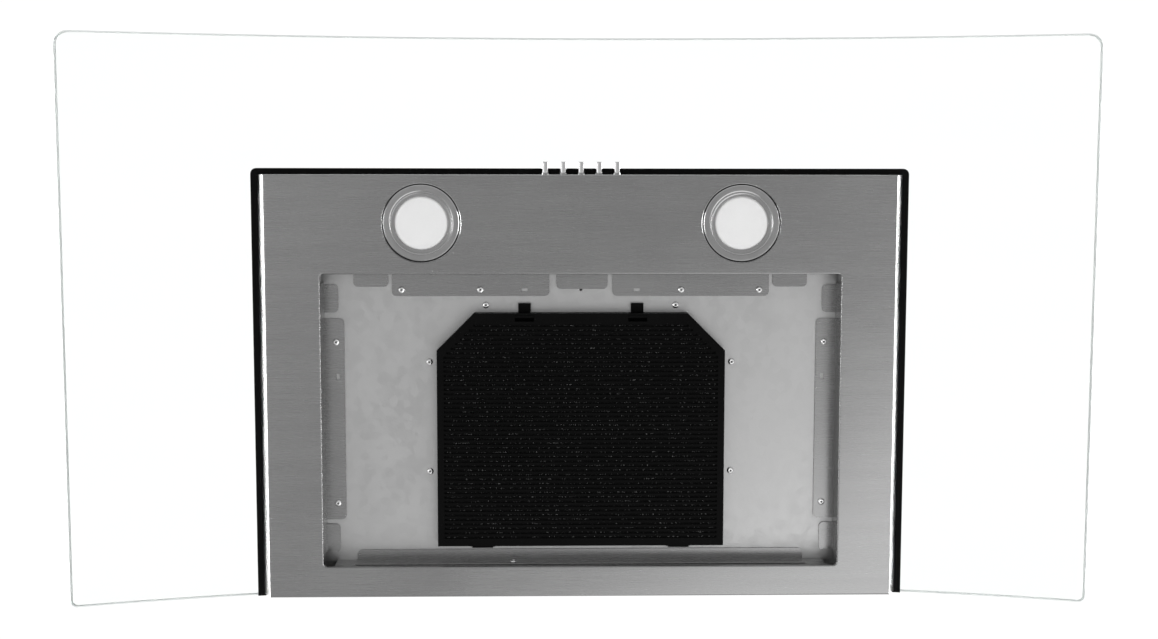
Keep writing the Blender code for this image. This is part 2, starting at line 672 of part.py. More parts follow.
def body_cover():
    """Thin arched sheet under the glass, inside the gasket, that hides the body's inside from above."""
    half = flank_top(0) + GASKET_PROUD - GASKET_WIDTH - GAP
    front = -PAN_DEPTH - GASKET_PROUD + GASKET_WIDTH + GAP
    cover = arch_slab("body_cover", GAP + COVER_THICK, GAP, front, -PAN_REAR, "galvanised")
    low, high = CROWN_Z - 2 * GLASS_SAG, CROWN_Z + GLASS_SAG
    combine(cover, prism("cover_plan", [(-half, front - SHEET), (half, front - SHEET), (half, 0), (-half, 0)],
                         low, high), "INTERSECT")
    return cut(cover, prism("cover_hole", glass_hole(0), low, high))


def glass_clamp():
    """Angle ring that holds the glass down around its cut-out."""
    over = GLASS_THICK + GAP
    clamp = arch_slab("glass_clamp", -over, -over - SHEET, -GLASS_DEPTH, 0, "galvanised")
    low, high = CROWN_Z - GLASS_SAG, CROWN_Z + GLASS_SAG
    plan = prism("clamp_plan", glass_hole(-CLAMP_REACH), low, high)
    leg = prism("clamp_leg", glass_hole(LOOSE), CROWN_Z - arch_drop(FILTER_WIDTH / 2),
                CROWN_Z + over + CLAMP_REACH)
    hole = prism("clamp_hole", glass_hole(LOOSE + SHEET), low, high)
    combine(clamp, plan, "INTERSECT")
    fuse(clamp, leg)
    return cut(clamp, hole)


def lamp(side, sign):
    centre = (sign * LAMP_X, LAMP_Y, UNDERSIDE)
    rim = LAMP_RIM_R
    face = -LAMP_PROUD
    lens_r = LAMP_LENS_R
    lip = rim - LAMP_LIP
    ring_out = lip - LAMP_GROOVE
    seat = face + LAMP_RECESS
    bezel = [(lens_r + 2 * GAP, seat), (LAMP_SLOPE_R, seat), (LAMP_SLOPE_R + LAMP_RECESS, face),
             (ring_out - GAP, face), (ring_out, face + GAP), (ring_out, -0.0008), (lip, -0.0008),
             (lip, -0.0014),
             (rim - GAP, -0.0014), (rim, -0.0010), (rim, -GAP), (LAMP_HOLE_R - 2 * GAP, -GAP),
             (LAMP_HOLE_R - 2 * GAP, 0.0080), (LAMP_CAN_R + GAP, 0.0080), (LAMP_CAN_R + GAP, 0.0010),
             (lens_r + 2 * GAP, 0.0010)]
    turned(f"lamp_bezel_{side}", bezel, centre, LAMP_STEPS, "Z", "chrome")
    lens = [(0, seat - 0.0004), (lens_r * 0.95, seat - 0.0002), (lens_r, seat + 0.0006), (lens_r, 0.0014),
            (lens_r + 0.0030, 0.0014), (lens_r + 0.0030, 0.0030), (0, 0.0030)]
    turned(f"lamp_lens_{side}", lens, centre, LAMP_STEPS, "Z", "lens")
    can = [(LAMP_CAN_R - SHEET, 0.0034), (LAMP_CAN_R, 0.0034), (LAMP_CAN_R, LAMP_CAN_HIGH - 0.004),
           (LAMP_CAN_R * 0.8, LAMP_CAN_HIGH), (0, LAMP_CAN_HIGH), (0, LAMP_CAN_HIGH - SHEET),
           (LAMP_CAN_R * 0.8 - SHEET, LAMP_CAN_HIGH - SHEET),
           (LAMP_CAN_R - SHEET, LAMP_CAN_HIGH - 0.004 - SHEET)]
    turned(f"lamp_can_{side}", can, centre, 24, "Z", "aluminium")


def button_x(number):
    return (number - (len(BUTTON_NAMES) - 1) / 2) * BUTTON_PITCH


def push_buttons():
    cap_end = SHEET + SWITCH_BEHIND - BUTTON_TRAVEL - 4 * GAP
    stem_end = SHEET + SWITCH_BEHIND + 0.010
    cap = BUTTON_R
    profile = [(0, -BUTTON_PROUD), (cap * 0.8, -BUTTON_PROUD), (cap, -BUTTON_PROUD + cap * 0.2),
               (cap, cap_end),
               (BUTTON_STEM_R, cap_end), (BUTTON_STEM_R, stem_end), (0, stem_end)]
    for number, name in enumerate(BUTTON_NAMES):
        centre = (button_x(number), -PAN_DEPTH, UNDERSIDE + BUTTON_UP)
        pivot(turned(f"button_{name}", profile, centre, 16, "Y", "chrome"), centre)

    half = button_x(len(BUTTON_NAMES) - 1) + SWITCH_SIDE
    front = -PAN_DEPTH + SHEET + SWITCH_BEHIND
    middle = UNDERSIDE + BUTTON_UP
    block = boxes("switch_block", [((-half, front, middle - SWITCH_HIGH / 2),
                                    (half, front + SWITCH_DEEP, middle + SWITCH_HIGH / 2))], "black_plastic")
    depth = 0.010 + BUTTON_TRAVEL + 2 * SHEET
    holes = rods("switch_holes", [((button_x(number), front - SHEET, middle), depth + SHEET)
                                  for number in range(len(BUTTON_NAMES))], BUTTON_STEM_R + 2 * GAP, 10, "Y")
    return cut(block, holes)


def latch_pocket_end():
    """Rear end of the pocket that each latch slides back into."""
    return FILTER_FRONT_Y + FILTER_WALL + LATCH_BASE_LONG + LATCH_TRAVEL + 2 * GAP


def slat_slots():
    """Slots between the slats of the cassette's face, as wide as the outline leaves at each row."""
    half = FILTER_WIDTH / 2 - FILTER_BORDER
    corner = FILTER_CHAMFER - FILTER_BORDER * (2 - math.sqrt(2))
    front = latch_pocket_end() + FILTER_WALL
    rear = -FILTER_REAR - FILTER_BORDER
    count = int((rear - front) / SLAT_PITCH)
    bm = bmesh.new()
    for row in range(count):
        y = rear - (row + 0.5) * (rear - front) / count
        cut_in = max(0.0, corner - (y - SLAT_PITCH / 2 - FILTER_FRONT_Y - FILTER_BORDER))
        open_half = (SLAT_PITCH - SLAT_WIDTH) / 2
        add_box(bm, (-half + cut_in, y - open_half, FILTER_FACE_Z - SHEET),
                (half - cut_in, y + open_half, FILTER_FACE_Z + 2 * FILTER_WALL))
    return solid("slat_slots", bm)


def charcoal_filter():
    frame = prism("filter_frame", cassette_outline(0), FILTER_FACE_Z, FILTER_TOP_Z, "Z", "black_plastic")
    face = FILTER_FACE_Z + FILTER_WALL
    hollow = prism("filter_hollow", cassette_outline(FILTER_WALL), face, FILTER_TOP_Z + SHEET)
    bm = bmesh.new()
    tip_low = PLATE_Z + SHEET + GAP
    for side in (-1, 1):
        x = side * HOOK_X
        add_box(bm, (x - HOOK_WIDTH / 2, -FILTER_REAR - SHEET, FILTER_TOP_Z - 3 * FILTER_WALL),
                (x + HOOK_WIDTH / 2, -FILTER_REAR + HOOK_REACH, FILTER_TOP_Z - FILTER_WALL))
        add_box(bm, (x - HOOK_WIDTH / 2, -FILTER_REAR + GAP, FILTER_TOP_Z - 2 * FILTER_WALL),
                (x + HOOK_WIDTH / 2, -FILTER_REAR + HOOK_REACH, tip_low + FILTER_WALL))
        add_box(bm, (x - HOOK_WIDTH / 2, -FILTER_REAR + HOOK_REACH / 2, tip_low),
                (x + HOOK_WIDTH / 2, -FILTER_REAR + HOOK_REACH + HOOK_TIP, tip_low + FILTER_WALL))
    hooks = solid("filter_hooks", bm)
    bm = bmesh.new()
    for side in (-1, 1):
        x = side * LATCH_X
        base = LATCH_BASE_WIDTH / 2 + GAP
        tongue = LATCH_WIDTH / 2 + GAP
        add_box(bm, (x - base, FILTER_FRONT_Y + FILTER_WALL, face - 2 * FILTER_WALL),
                (x + base, latch_pocket_end(), face + FILTER_WALL))
        add_box(bm, (x - tongue, FILTER_FRONT_Y - SHEET, LATCH_TONGUE_Z - GAP),
                (x + tongue, FILTER_FRONT_Y + 2 * FILTER_WALL, PLATE_Z))
    pockets = solid("latch_pockets", bm)
    cut(frame, hollow)
    fuse(frame, hooks)
    cut(frame, slat_slots(), pockets)
    pivot(frame, FILTER_PIVOT)

    pad_low = face + GAP
    pad = prism("carbon_pad", cassette_outline(FILTER_WALL + GAP), pad_low, pad_low + PAD_THICK, "Z",
                "charcoal")
    room = boxes("pad_room", [((side * LATCH_X - LATCH_BASE_WIDTH, FILTER_FRONT_Y - SHEET, face - SHEET),
                               (side * LATCH_X + LATCH_BASE_WIDTH, latch_pocket_end() + GAP, PLATE_Z))
                              for side in (-1, 1)])
    attach(cut(pad, room), frame)
    back = prism("filter_back", cassette_outline(FILTER_WALL + GAP), FILTER_TOP_Z - FILTER_WALL,
                 FILTER_TOP_Z, "Z",
                 "black_plastic")
    window = prism("back_window", cassette_outline(4 * FILTER_BORDER), FILTER_TOP_Z - 2 * FILTER_WALL,
                   FILTER_TOP_Z + FILTER_WALL)
    attach(cut(back, window, room), frame)
    filter_latches(frame)


def filter_latches(frame):
    """Sliders in the cassette's front edge: a finger piece below, and a tongue above it under the plate."""
    for side, sign in (("left", -1), ("right", 1)):
        x = sign * LATCH_X
        front = FILTER_FRONT_Y + FILTER_WALL + GAP
        top = LATCH_TONGUE_Z + LATCH_TONGUE
        latch = boxes(f"filter_latch_{side}",
                      [((x - LATCH_WIDTH / 2, FILTER_FRONT_Y - LATCH_PROUD, LATCH_TONGUE_Z),
                                                (x + LATCH_WIDTH / 2, front + SHEET, top))], "black_plastic")
        finger = boxes(f"latch_finger_{side}", [((x - LATCH_BASE_WIDTH / 2, front, FILTER_FACE_Z + GAP),
                                                 (x + LATCH_BASE_WIDTH / 2, front + LATCH_BASE_LONG,
                                                  top - GAP))])
        pivot(fuse(latch, finger), (x, front, LATCH_TONGUE_Z))
        attach(latch, frame)


def blower_box():
    box = prism("blower_box", cassette_outline(0), BOX_FOOT_Z, BOX_TOP_Z, "Z", "galvanised")
    flange = prism("box_flange", cassette_outline(-BOX_FLANGE), BOX_FOOT_Z, BOX_FOOT_Z + SHEET)
    inside = prism("box_inside", cassette_outline(SHEET), BOX_FOOT_Z - SHEET, BOX_TOP_Z - SHEET)
    bm = bmesh.new()
    for _, x, y in mirrored(BLOWER_RIVETS):
        add_prism(bm, ring(x, y, RIVET_SHANK_R + GAP), BOX_FOOT_Z - SHEET, BOX_FOOT_Z + 2 * SHEET)
    for _, x, y in mirrored([point for point in TAB_RIVETS if point[0] < FILTER_WIDTH / 2 + BOX_FLANGE]):
        add_prism(bm, ring(x, y, 2 * RIVET_SHANK_R), BOX_FOOT_Z - SHEET, BOX_FOOT_Z + 2 * SHEET)
    for side in (-1, 1):
        add_prism(bm, hook_slot(side, -FILTER_REAR + HOOK_REACH + HOOK_TIP + LOOSE),
                  BOX_FOOT_Z - SHEET, BOX_FOOT_Z + 6 * SHEET)
    low, high = outlet_mouth()
    add_box(bm, (-SCROLL_HALF, low, BOX_TOP_Z - 2 * SHEET), (SCROLL_HALF, high, BOX_TOP_Z + SHEET))
    holes = solid("box_holes", bm)
    fuse(box, flange)
    return cut(box, inside, holes)


def outlet_mouth():
    """Front and rear of the scroll's outlet."""
    tongue = math.radians(SCROLL_TONGUE_DEG)
    return WHEEL_Y - SCROLL_LARGE_R, WHEEL_Y + SCROLL_TONGUE_R * math.cos(tongue)


def scroll_outline(inset, top):
    """The scroll's section, (y, z): a spiral from its tongue round the wheel, then an outlet upwards."""
    points = []
    steps = 18
    for step in range(steps + 1):
        share = step / steps
        angle = math.radians(SCROLL_TONGUE_DEG - share * (180 + SCROLL_TONGUE_DEG))
        radius = SCROLL_TONGUE_R + share * (SCROLL_LARGE_R - SCROLL_TONGUE_R) - inset
        points.append((WHEEL_Y + radius * math.cos(angle), WHEEL_Z + radius * math.sin(angle)))
    low, high = outlet_mouth()
    tongue_rise = WHEEL_Z + SCROLL_TONGUE_R * math.sin(math.radians(SCROLL_TONGUE_DEG))
    return points + [(low + inset, top), (high - inset, top), (high - inset, tongue_rise)]


def blower_scroll():
    top = BOX_TOP_Z - SHEET - GAP
    scroll = prism("blower_scroll", scroll_outline(0, top), -SCROLL_HALF, SCROLL_HALF, "X", "galvanised")
    inside = prism("scroll_inside", scroll_outline(SHEET, top + SHEET), -SCROLL_HALF + SHEET,
                   SCROLL_HALF - SHEET, "X")
    inlets = rods("scroll_inlets", [((-SCROLL_HALF - SHEET, WHEEL_Y, WHEEL_Z), 2 * SCROLL_HALF + 2 * SHEET)],
                  INLET_R, 32, "X")
    return cut(scroll, inside, inlets)


def blower_wheel():
    """Double-inlet squirrel-cage wheel: a middle disc with a hub, two end rings and blades between them."""
    centre = (0, WHEEL_Y, WHEEL_Z)
    steps = 2 * WHEEL_BLADES
    inner = WHEEL_R - BLADE_DEEP
    wheel = turned("blower_wheel", [(SHAFT_HOLE_R, -0.010), (WHEEL_HUB_R, -0.010), (WHEEL_HUB_R, -SHEET),
                                    (WHEEL_R, -SHEET), (WHEEL_R, SHEET), (WHEEL_HUB_R, SHEET),
                                    (WHEEL_HUB_R, 0.010),
                                    (SHAFT_HOLE_R, 0.010)], centre, steps, "X", "aluminium")
    bm = bmesh.new()
    for end in (-1, 1):
        x = end * (WHEEL_HALF - 0.0015)
        add_turned(bm,
                   [(inner, x - 0.0015), (WHEEL_R, x - 0.0015), (WHEEL_R, x + 0.0015), (inner, x + 0.0015)],
                   centre, steps, "X")
    rings = solid("wheel_rings", bm)
    bm = bmesh.new()
    for blade in range(WHEEL_BLADES):
        angle = math.tau * (blade + 0.25) / WHEEL_BLADES
        lean = 0.10
        corners = [(inner + SHEET, angle), (WHEEL_R - SHEET, angle + lean),
                   (WHEEL_R - SHEET, angle + lean + 0.018),
                   (inner + SHEET, angle + 0.020)]
        outline = [(WHEEL_Y + radius * math.cos(turn), WHEEL_Z + radius * math.sin(turn)) for radius,
                   turn in corners]
        add_prism(bm, outline, -WHEEL_HALF + SHEET, WHEEL_HALF - SHEET, "X")
    blades = solid("wheel_blades", bm)
    return pivot(fuse(wheel, blades, rings), centre)


def motor(wheel):
    start = SCROLL_HALF + 4 * SHEET
    turned("motor", [(SHAFT_HOLE_R, start), (MOTOR_R * 0.9, start), (MOTOR_R, start + 0.004),
                     (MOTOR_R, start + MOTOR_LONG - 0.006), (MOTOR_R * 0.6, start + MOTOR_LONG),
                     (0, start + MOTOR_LONG), (0, start + 0.012), (SHAFT_HOLE_R, start + 0.012)],
           (0, WHEEL_Y, WHEEL_Z), 24, "X", "aluminium")
    shaft = rods("motor_shaft", [((-SHAFT_END, WHEEL_Y, WHEEL_Z), start + SHAFT_END + 0.010)], SHAFT_R, 16,
                 "X", "chrome")
    attach(shaft, wheel)
    thick = 2.5 * SHEET
    foot = SCROLL_HALF + GAP
    bracket = turned("motor_bracket",
                     [(MOTOR_R * 0.5, 0), (MOTOR_R, 0), (MOTOR_R, thick), (MOTOR_R * 0.5, thick)],
                     (foot, WHEEL_Y, WHEEL_Z), 24, "X", "galvanised")
    bm = bmesh.new()
    for arm in range(3):
        turn = math.radians(30 + 120 * arm)
        along = Vector((math.cos(turn), math.sin(turn)))
        across = Vector((-along.y, along.x)) * 0.006
        centre = Vector((WHEEL_Y, WHEEL_Z))
        corners = [centre + along * (MOTOR_R - 0.006) - across, centre + along * (INLET_R + 0.008) - across,
                   centre + along * (INLET_R + 0.008) + across, centre + along * (MOTOR_R - 0.006) + across]
        add_prism(bm, [tuple(corner) for corner in corners], foot, foot + thick, "X")
    return fuse(bracket, solid("bracket_arms", bm))


def outlet_collar():
    centre = (0, COLLAR_Y, COLLAR_Z)
    inner = COLLAR_R - SHEET
    lip_top = PIN_Z - COLLAR_Z - FLAP_THICK / 2 - GAP
    lip_low = lip_top - 1.5 * SHEET
    collar = turned("outlet_collar",
                    [(COLLAR_R, 0), (COLLAR_R, COLLAR_HIGH), (inner, COLLAR_HIGH), (inner, lip_top),
                                      (inner - COLLAR_LIP, lip_top), (inner - COLLAR_LIP, lip_low),
                     (inner, lip_low),
                                      (inner, 0)], centre, 28, "Z", "galvanised")
    half = COLLAR_R + 0.008
    base = prism("collar_base", centred_rectangle(0, COLLAR_Y, 2 * half, 2 * half, 0.006), COLLAR_Z,
                 COLLAR_Z + SHEET)
    base_hole = rods("collar_hole", [((0, COLLAR_Y, COLLAR_Z - SHEET), 3 * SHEET)], inner + SHEET / 2, 28,
                     "Z")
    pins = [((x, COLLAR_Y - COLLAR_R - SHEET, PIN_Z), 2 * COLLAR_R + 2 * SHEET) for x in (-PIN_X, PIN_X)]
    cut(base, base_hole)
    fuse(collar, base)
    cut(collar, rods("pin_holes", pins, PIN_R + GAP, 10, "Y"))
    for side, pin in zip(("left", "right"), pins):
        rods(f"damper_pin_{side}", [pin], PIN_R, 10, "Y", "chrome")
    return collar


def damper_flaps():
    """Two half discs, each with a sleeve that turns on its own pin."""
    radius = COLLAR_R - SHEET - LOOSE
    edge = SLEEVE_R + GAP
    sleeve = 2 * radius * SLEEVE_SHARE
    start = math.asin((PIN_X + edge) / radius)
    angles = [-math.pi / 2 + start + (math.pi - 2 * start) * step / 20 for step in range(21)]
    for side, sign in (("left", -1), ("right", 1)):
        outline = [(sign * radius * math.cos(a), COLLAR_Y + radius * math.sin(a)) for a in angles]
        flap = prism(f"damper_flap_{side}", outline, PIN_Z - FLAP_THICK / 2, PIN_Z + FLAP_THICK / 2, "Z",
                     "aluminium")
        low = COLLAR_Y - sleeve / 2
        near, far = sorted((sign * (PIN_X + PIN_R + 2 * GAP), sign * (PIN_X + edge + SHEET)))
        web = boxes(f"flap_web_{side}", [((near, low, PIN_Z - FLAP_THICK / 3),
                                          (far, low + sleeve, PIN_Z + FLAP_THICK / 3))])
        tube = turned(f"flap_tube_{side}",
                      [(PIN_R + GAP, 0), (SLEEVE_R, 0), (SLEEVE_R, sleeve), (PIN_R + GAP, sleeve)],
                      (sign * PIN_X, low, PIN_Z), 12, "Y")
        pivot(fuse(flap, web, tube), (sign * PIN_X, COLLAR_Y, PIN_Z))


def electrics():
    """Junction box, cover and gland on the blower box's left side; the motor's capacitor on its right."""
    inner = -FILTER_WIDTH / 2 - GAP
    outer = inner - 0.022
    front, rear = -0.190, -0.110
    low, high = BOX_FOOT_Z + 0.080, BOX_FOOT_Z + 0.140
    box = boxes("junction_box", [((outer, front, low), (inner, rear, high))], "grey_plastic")
    wall = 2 * SHEET
    room = boxes("junction_room",
                 [((outer - wall, front + wall, low + wall), (inner - wall, rear - wall, high - wall))])
    middle = (front + rear) / 2
    gland_hole = rods("gland_hole", [((outer / 2 + inner / 2, middle, high - 2 * wall), 3 * wall)], 0.0055,
                      16, "Z")
    cut(box, room, gland_hole)
    boxes("junction_cover", [((outer - GAP - 1.5 * SHEET, front, low), (outer - GAP, rear, high))],
          "grey_plastic")
    turned("cable_gland", [(0.0030, -0.004), (0.0050, -0.004), (0.0050, GAP + wall), (0.0085, GAP + wall),
                           (0.0085, 0.008), (0.0060, 0.014), (0.0030, 0.014)],
           (outer / 2 + inner / 2, middle, high - wall), 16, "Z", "black_plastic")
    radius = 0.011
    turned("capacitor", [(0, 0), (radius, 0), (radius, 0.048), (radius * 0.7, 0.050), (0, 0.050)],
           (FILTER_WIDTH / 2 + radius + 2 * GAP, -0.175, BOX_FOOT_Z + 0.110), 20, "Y", "aluminium")


def wall_hanger():
    """Channel behind the blower box, with two keyholes for the wall screws."""
    thick = 2 * SHEET
    half = HANGER_HALF
    low, high = -HANGER_HIGH / 2, HANGER_HIGH / 2
    front = -FILTER_REAR + GAP
    ear = 0.015
    hanger = boxes("wall_hanger", [((-half, -thick, low), (half, 0, high))], "galvanised")
    bm = bmesh.new()
    for sign in (-1, 1):
        near, far = sorted((sign * half, sign * (half - thick)))
        add_box(bm, (near, front, low), (far, -thick / 2, high))
        near, far = sorted((sign * half, sign * (half - ear)))
        add_box(bm, (near, front, low), (far, front + thick, high))
    sides = solid("hanger_sides", bm)
    bm = bmesh.new()
    head, slot = 0.005, 0.0027
    for sign in (-1, 1):
        x, z = sign * KEYHOLE_X, low + 0.022
        outline = [(x + head * math.cos(a), z + head * math.sin(a))
                   for a in (math.radians(122 + 296 * step / 14) for step in range(15))]
        outline += [(x + slot, z + 0.018), (x - slot, z + 0.018)]
        add_prism(bm, outline, -2 * thick, thick, "Y")
    fuse(hanger, sides)
    return cut(hanger, solid("hanger_keyholes", bm))


def channel_outline(half, front, rear, lip):
    """A U-shaped sheet in plan, open towards the wall, with its rear edges turned in."""
    outer = [(-half + lip, rear), (-half, rear), (-half, front), (half, front), (half, rear),
             (half - lip, rear)]
    t = SHEET
    inner = [(half - lip, rear - t), (half - t, rear - t), (half - t, front + t), (-half + t, front + t),
             (-half + t, rear - t), (-half + lip, rear - t)]
    return outer + inner


def chimney():
    half = CHIMNEY_WIDTH / 2
    lower = prism("chimney_lower", channel_outline(half, -CHIMNEY_DEPTH, 0, CHIMNEY_LIP), CROWN_Z - GLASS_SAG,
                  CHIMNEY_TOP_Z, "Z", "stainless")
    below = [(-GLASS_WIDTH / 2, CROWN_Z - 2 * GLASS_SAG), (GLASS_WIDTH / 2, CROWN_Z - 2 * GLASS_SAG)]
    glass = prism("chimney_foot", below + arch_line(-GLASS_THICK - GAP, GLASS_WIDTH)[::-1], -GLASS_DEPTH,
                  SHEET, "Y")
    cut(lower, glass)

    inset = SHEET + LOOSE
    top = CHIMNEY_TOP_Z + UPPER_SHOWS
    upper = prism("chimney_upper",
                  channel_outline(half - inset, -CHIMNEY_DEPTH + inset, -SHEET - LOOSE, CHIMNEY_LIP),
                  top - UPPER_LENGTH, top, "Z", "stainless")
    bm = bmesh.new()
    for number in range(VENT_SLOTS):
        z = top - 0.050 - number * VENT_PITCH
        middle = -CHIMNEY_DEPTH / 2
        add_box(bm, (-half, middle - VENT_LONG / 2, z - VENT_HIGH / 2),
                (half, middle + VENT_LONG / 2, z + VENT_HIGH / 2))
    cut(upper, solid("vent_slots", bm))
    screw_z = top - UPPER_SHOWS / 2
    screw_y = -0.030
    holes = rods("screw_holes", [((-half, screw_y, screw_z), 2 * half)], 0.0020 + GAP, 12, "X")
    cut(upper, holes)
    attach(chimney_bracket(half - inset - SHEET - GAP, top, holes), upper)
    for side, sign in (("left", -1), ("right", 1)):
        out = half - inset + GAP
        profile = [(0, out + 0.0018), (0.0030, out + 0.0018), (0.0042, out), (0.0020, out),
                   (0.0020, out - 0.008),
                   (0, out - 0.008)]
        screw = turned(f"chimney_screw_{side}", [(r, sign * h) for r, h in profile], (0, screw_y, screw_z),
                       12, "X",
                       "chrome")
        attach(screw, upper)


def chimney_bracket(reach, top, holes):
    """Wall bracket inside the top of the upper chimney, which is screwed to its ears."""
    low, high = top - UPPER_SHOWS - 0.012, top - 0.002
    thick = 1.5 * SHEET
    half = CHIMNEY_WIDTH / 2 - CHIMNEY_LIP - 4 * LOOSE
    bend = -0.020
    bracket = boxes("chimney_bracket", [((-half, -thick, low), (half, 0, high))], "galvanised")
    bm = bmesh.new()
    for sign in (-1, 1):
        near, far = sorted((sign * half, sign * (half - thick)))
        add_box(bm, (near, bend, low), (far, -thick / 2, high))
        near, far = sorted((sign * (half - thick / 2), sign * reach))
        add_box(bm, (near, bend, low), (far, bend + thick, high))
        near, far = sorted((sign * (reach - thick), sign * reach))
        add_box(bm, (near, bend - 0.018, low), (far, bend + thick / 2, high))
    return cut(fuse(bracket, solid("bracket_sides", bm)), holes)


def build():
    for obj in list(bpy.data.objects):
        bpy.data.objects.remove(obj, do_unlink=True)
    body_pan()
    inner_plate()
    rear_rail()
    rivets()
    glass_canopy()
    glass_gasket()
    body_cover()
    glass_clamp()
    lamp("left", -1)
    lamp("right", 1)
    push_buttons()
    charcoal_filter()
    blower_box()
    blower_scroll()
    motor(blower_wheel())
    outlet_collar()
    damper_flaps()
    electrics()
    wall_hanger()
    chimney()


build()
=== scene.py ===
import json
import math
import random

import bmesh
import bpy
from mathutils import Matrix, Vector

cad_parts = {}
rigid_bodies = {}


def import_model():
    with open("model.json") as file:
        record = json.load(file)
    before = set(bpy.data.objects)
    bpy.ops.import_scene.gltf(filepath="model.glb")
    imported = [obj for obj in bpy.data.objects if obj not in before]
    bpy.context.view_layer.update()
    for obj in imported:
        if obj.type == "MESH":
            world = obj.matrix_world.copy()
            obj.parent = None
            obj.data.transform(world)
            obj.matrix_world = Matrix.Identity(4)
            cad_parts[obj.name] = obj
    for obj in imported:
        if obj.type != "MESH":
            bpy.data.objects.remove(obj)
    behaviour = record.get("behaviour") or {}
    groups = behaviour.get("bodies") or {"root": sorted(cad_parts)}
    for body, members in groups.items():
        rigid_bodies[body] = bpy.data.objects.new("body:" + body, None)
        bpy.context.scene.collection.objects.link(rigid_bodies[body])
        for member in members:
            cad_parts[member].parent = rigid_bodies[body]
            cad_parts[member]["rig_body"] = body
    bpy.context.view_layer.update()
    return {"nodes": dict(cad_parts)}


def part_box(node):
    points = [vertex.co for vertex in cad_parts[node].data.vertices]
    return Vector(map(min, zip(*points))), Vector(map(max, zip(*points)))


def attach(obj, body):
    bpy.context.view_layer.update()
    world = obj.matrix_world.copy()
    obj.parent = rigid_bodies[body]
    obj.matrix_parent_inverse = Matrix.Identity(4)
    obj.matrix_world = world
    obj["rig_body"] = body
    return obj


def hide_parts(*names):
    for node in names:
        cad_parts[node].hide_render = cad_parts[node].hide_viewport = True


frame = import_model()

SHARP = math.radians(38)        # faces that meet at a larger angle keep a sharp edge
JOINED = 1e-6                   # points nearer than this are one point
LEVEL = 1e-5                    # points nearer than this to a face's height lie on it

# Lengths are in metres. A profile is (radius, height), and a face is (share of its radius, height).
GLASS_THICK = 0.006
GLASS_EDGE = 0.0014             # radius of its polished edges
GLASS_FRONT_CORNER = 0.012      # radius in plan, which the cut-out's corners share
GLASS_REAR_CORNER = 0.006
CUT_OUT_MARGIN = 0.02           # the cut-out lies further than this from the glass's edges
EDGE_STEPS = 3
CORNER_STEPS = 8
ARCH_STEPS = 90
ARCH_CUT_NEAR = 1e-7
FILLET_STEPS = 4
FILLET_SHARE = 0.45             # the most that one fillet takes of a profile's side

LAMP_STEPS = 96
LENS_FLANGE = 0.0030            # how far it stands out behind the bezel
LENS_FLANGE_THICK = 0.0016
LENS_FACE = ((0.80, 0.00008), (0.95, 0.0002), (1, 0.0010))
LENS_ROUND = 0.0002
LENS_ROOM = 0.0006              # between the lens and the bezel
LENS_SEAT = 0.0038              # the bezel's height where the lens's flange rests
BEZEL_SEAT = 0.0020             # the height of its groove and of the face next to the lens
BEZEL_CURVE = ((0.0251, 0.0020), (0.0262, 0.0018), (0.0270, 0.0012), (0.0276, 0.0004), (0.0284, 0.00008),
               (0.0290, 0.0))
BEZEL_ROUND = 0.00025
RING_CHAMFER = 0.0008
GROOVE_WIDE = 0.0010
RIM_WIDE = 0.0008
RIM_INNER = 0.0009              # heights of the rim's inner, outer and rear edges
RIM_OUTER = 0.0017
RIM_REAR = 0.0025
SHELL_OUT = 0.0064              # the bezel's tube, outwards from the lens
SHELL_THICK = 0.0011
GROOVE_SHADE_ROOM = 0.00005             # between the black ring of painted shade and the groove's sides
GROOVE_SHADE_FRONT = 0.0005             # the black ring's faces, in front of the groove's floor; the ring is painted shade that darkens the groove
GROOVE_SHADE_REAR = 0.0002

BUTTON_STEPS = 48
BUTTON_FACE = ((0, 0.0004), (0.55, 0.0002), (0.80, 0), (1, 0.0007))
BUTTON_ROUND = 0.0004
STEM_LONG = 0.0142
STEM_R = 0.0020

RIVET_STEPS = 40
RIVET_WELL = ((0, 0.0009), (0.00085, 0.0009), (0.00100, 0.00005))
RIVET_DOME = ((0.55, 0.0), (0.85, 0.00045), (1, 0.00095))
RIVET_HEAD_THICK = 0.0012
RIVET_SHANK_R = 0.0016
RIVET_ROUND = 0.00012
MANDREL_STEPS = 20
MANDREL_END = ((0, 0.00035), (0.00060, 0.00045), (0.00070, 0.0010), (0, 0.0010))

COVER_FRONT_ROOM = 0.0020       # a latch pocket's cover, from the cassette's front edge
COVER_REAR_PAST = 0.0045        # and past the latch's rear
COVER_CORNER = 0.001
COVER_FACES = (0.00003, 0.00017)    # above the cassette's back grid
SLOT_NARROWEST = 0.0019         # limits of a slot's width between two slats
SLOT_WIDEST = 0.0023
GRANULE_SEED = 7
GRANULE_PITCH = 0.0034
GRANULE_SIZES = (0.00055, 0.00095)
GRANULE_RISE = (-0.0002, 0.0003)    # from the pad's face
GRANULE_CORNERS = (0.70, 1.0)   # a corner's distance from the middle, as a share of the size
SLOT_END_ROOM = 0.002

SENSOR = 36                     # millimetres, as is the focal length
FOCAL_LENGTH = 47.25
VIEW_FORWARD = (0.0230, 0.0958, 0.9951)
VIEW_RIGHT = (0.99974, -0.0012, -0.0230)
CAMERA_X = -0.0331
CAMERA_Y = -0.3812
CAMERA_DROP = 1.3814            # from the glass's crown to the camera
FLOOR_DROP = 1.65               # from the hood's underside to the floor
FLOOR_HALF = 8
SURROUND = 1.05                 # strength of the white surround
